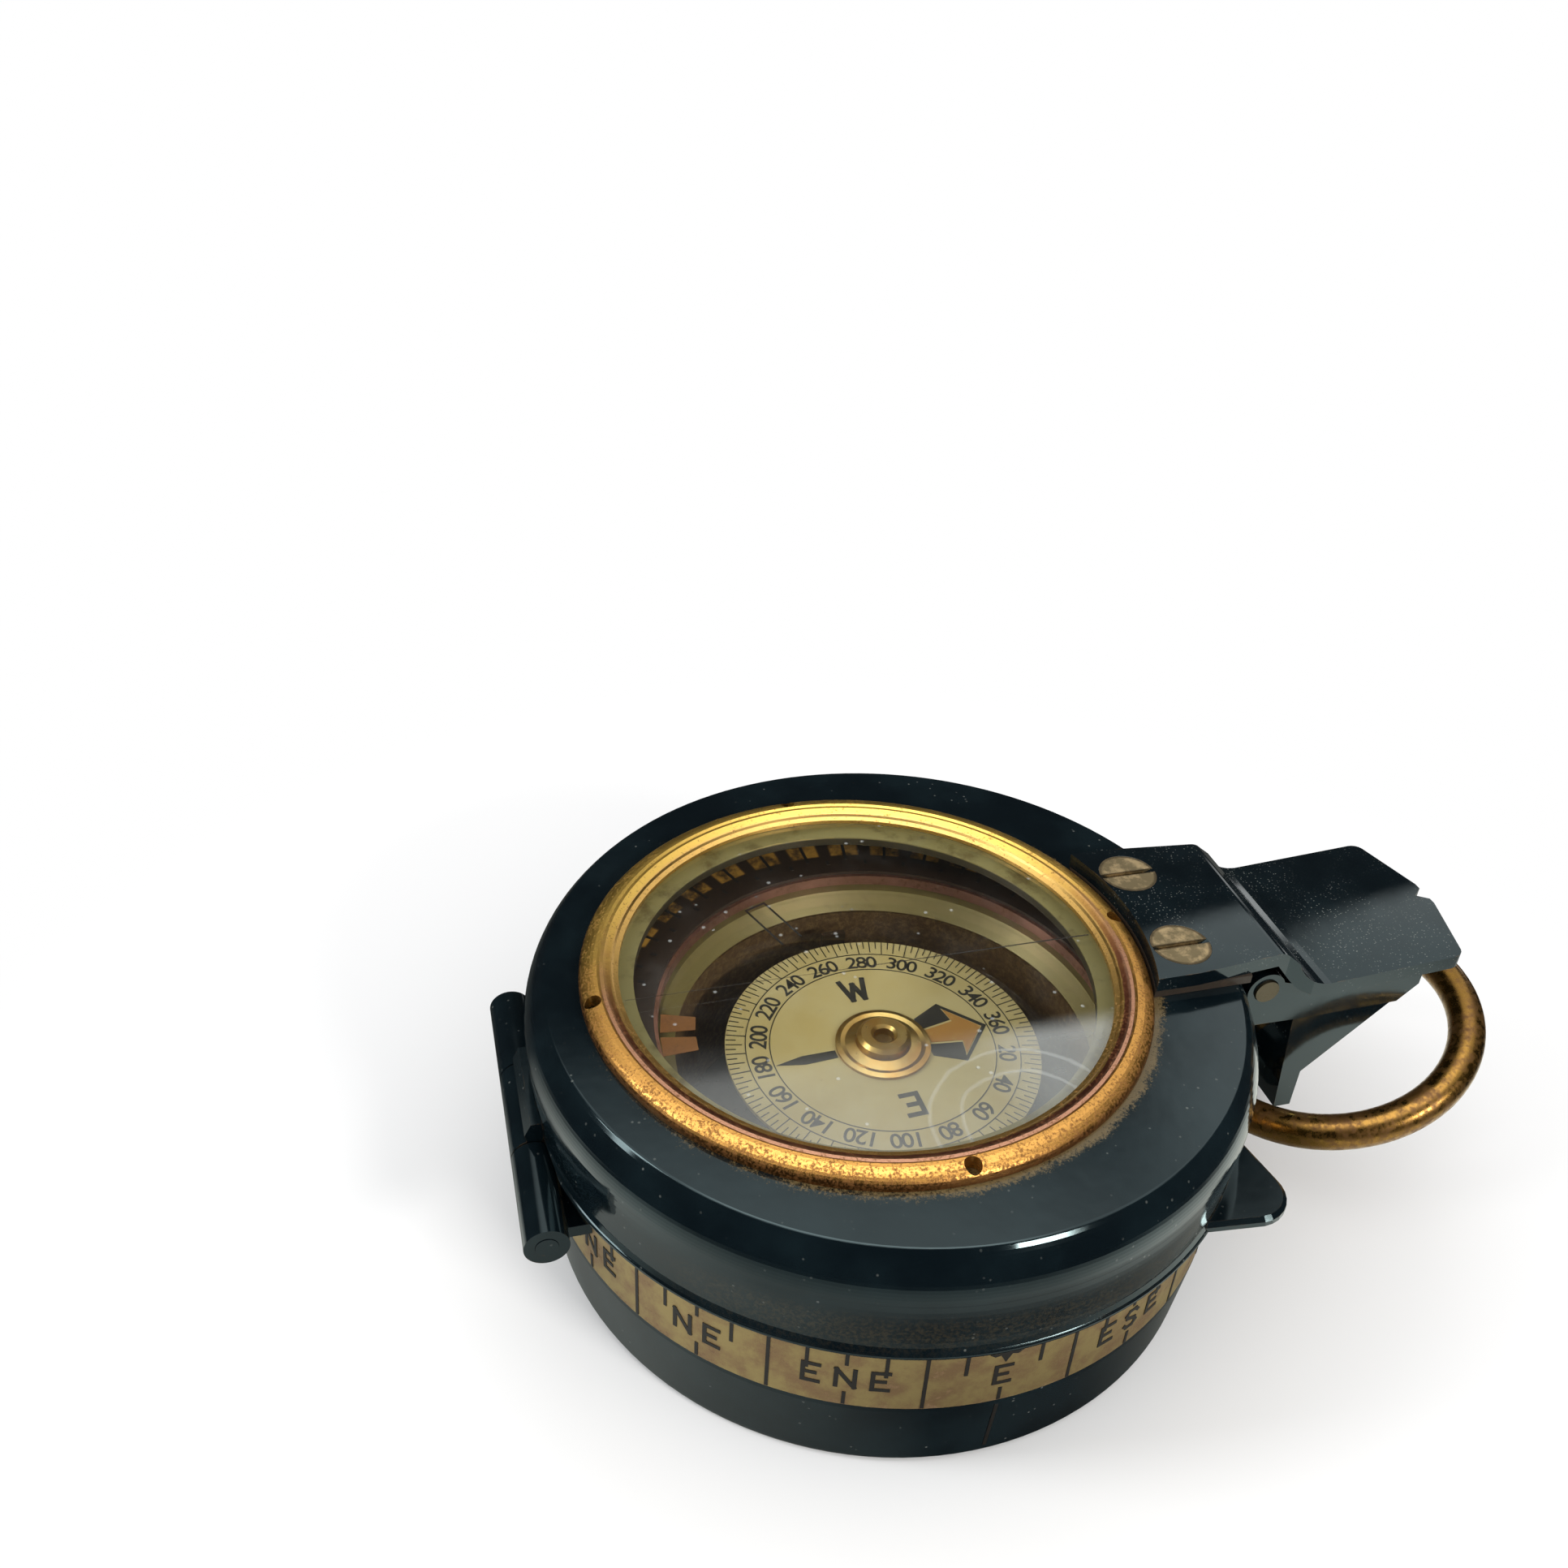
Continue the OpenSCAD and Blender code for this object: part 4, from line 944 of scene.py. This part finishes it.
# A white floor that keeps the object's shadow. The camera sees white all round; what shines also shows a dim
# room with a window and a bright strip at the back right, a pale ceiling that ends over the camera, and a
# table that is brighter at the left and right than in front
studio = {
    "floorSize": 6.0,
    "floorColour": grey(0.86),
    "floorWhite": (0.034, 0.085),  # how far from the middle the floor's own white begins
    "floorDim": (0.058, 0.085),
    "dim": grey(0.02),
    # the table's brightness in reflections, by the turn: left 0, front 0.25, right 0.5, back 0.75
    "tableNear": greys((0.0, 0.33), (0.10, 0.42), (0.16, 0.30), (0.23, 0.03), (0.30, 0.05), (0.37, 0.18),
                       (0.47, 0.38), (0.58, 0.08), (0.92, 0.04), (1.0, 0.33)),
    "tableFar": greys((0.0, 0.95), (0.07, 0.75), (0.14, 0.42), (0.23, 0.45), (0.30, 0.55), (0.37, 1.1),
                      (0.50, 1.4), (0.58, 0.15), (0.92, 0.04), (1.0, 0.95)),
    "nearEnds": (0.033, 0.043),
    "tableTint": (0.96, 1.0, 0.92),
    # the ceiling's brightness by height, from straight down (0) to straight up (1)
    "ceiling": greys((0.0, 0.03), (0.847, 0.03), (0.883, 1.3), (0.945, 1.3), (0.97, 4.0)),
    "nearSide": (-0.55, -0.25),
    # what is bright in the room: its direction, the cosines at its edge and its brightness
    "bright": [
        ((0.595, 0.4995, 0.629), (0.974, 0.990), grey(1.35)),
        ((0.80, 0.60, 0.0), (0.975, 0.992), grey(1.7)),
    ],
    "plainLight": grey(0.92),
    "white": grey(1.0),
}


def makeFloor():
    half = studio["floorSize"] / 2
    mesh = bpy.data.meshes.new("floor")
    corners = [(-half, -half, 0), (half, -half, 0), (half, half, 0), (-half, half, 0)]
    mesh.from_pydata(corners, [], [(0, 1, 2, 3)])
    floor = bpy.data.objects.new("floor", mesh)
    scene.collection.objects.link(floor)
    material, board = newMaterial("floorPaper")
    x, y = board.split(board.place())[:2]
    away = board.length(x, y)
    turn = board.add("ShaderNodeMath", {"operation": "ARCTAN2"}, {0: y, 1: x}) / math.tau + 0.5
    near = board.add("ShaderNodeValToRGB", {"ramp": studio["tableNear"]}, {0: turn})
    far = board.add("ShaderNodeValToRGB", {"ramp": studio["tableFar"]}, {0: turn})
    table = board.mix(board.fade(away, *studio["nearEnds"]), near, far)
    tinting = {0: table, 1: studio["tableTint"]}
    table = board.add("ShaderNodeVectorMath", {"operation": "MULTIPLY"}, tinting)
    shine = board.lightPath(["Is Glossy Ray"])
    lit = board.lightPath(["Is Camera Ray", "Is Transmission Ray", "Is Glossy Ray"])
    matt = board.add("ShaderNodeBsdfDiffuse", {}, {0: board.mix(shine, studio["floorColour"], table)})
    table = board.mix(board.fade(away, *studio["floorDim"]), table, studio["dim"])
    paper = board.add("ShaderNodeEmission", {}, {0: board.mix(shine, studio["white"], table)})
    board.out(board.layer(board.fade(away, *studio["floorWhite"]) * lit, matt, paper))
    mesh.materials.append(material)


def makeSky():
    world = bpy.data.worlds.new("studio")
    world.use_nodes = True
    scene.world = world
    board = Board(world.node_tree)
    direction = board.add("ShaderNodeTexCoord", {}, {}, 0)
    far, height = board.split(direction)[1:]
    room = board.add("ShaderNodeValToRGB", {"ramp": studio["ceiling"]}, {0: height * 0.5 + 0.5})
    room = board.mix(board.fade(far, *studio["nearSide"]), studio["dim"], room)
    for towards, edge, light in studio["bright"]:
        pair = {0: direction, 1: towards}
        facing = board.add("ShaderNodeVectorMath", {"operation": "DOT_PRODUCT"}, pair, 1)
        room = board.mix(board.fade(facing, *edge), room, light)
    shine = board.lightPath(["Is Glossy Ray"])
    seen = board.lightPath(["Is Camera Ray", "Is Transmission Ray"])
    colour = board.mix(shine, board.mix(seen, studio["plainLight"], studio["white"]), room)
    board.add("ShaderNodeOutputWorld", {}, {0: board.add("ShaderNodeBackground", {}, {0: colour})})


lampAim = (0, 0, 10 * mm)
lamps = {
    "keyLamp": {"place": (0.21, -0.38, 0.26), "size": (0.14, 0.05), "power": 1.2,
                "colour": (1.0, 0.98, 0.95)},
    "sideLamp": {"place": (-0.40, 0.05, 0.30), "size": (0.12, 0.26), "power": 0.9,
                 "colour": (0.96, 0.98, 1.0)},
}


def makeLamps():
    for name, lamp in lamps.items():
        data = bpy.data.lights.new(name, "AREA")
        data.shape = "RECTANGLE"
        data.size, data.size_y = lamp["size"]
        data.energy = lamp["power"]
        data.color = lamp["colour"]
        obj = bpy.data.objects.new(name, data)
        scene.collection.objects.link(obj)
        obj.location = lamp["place"]
        obj.rotation_euler = (Vector(lampAim) - Vector(lamp["place"])).to_track_quat("-Z", "Y").to_euler()


makeFloor()
makeSky()
makeLamps()
report("floor, sky and lamps made")
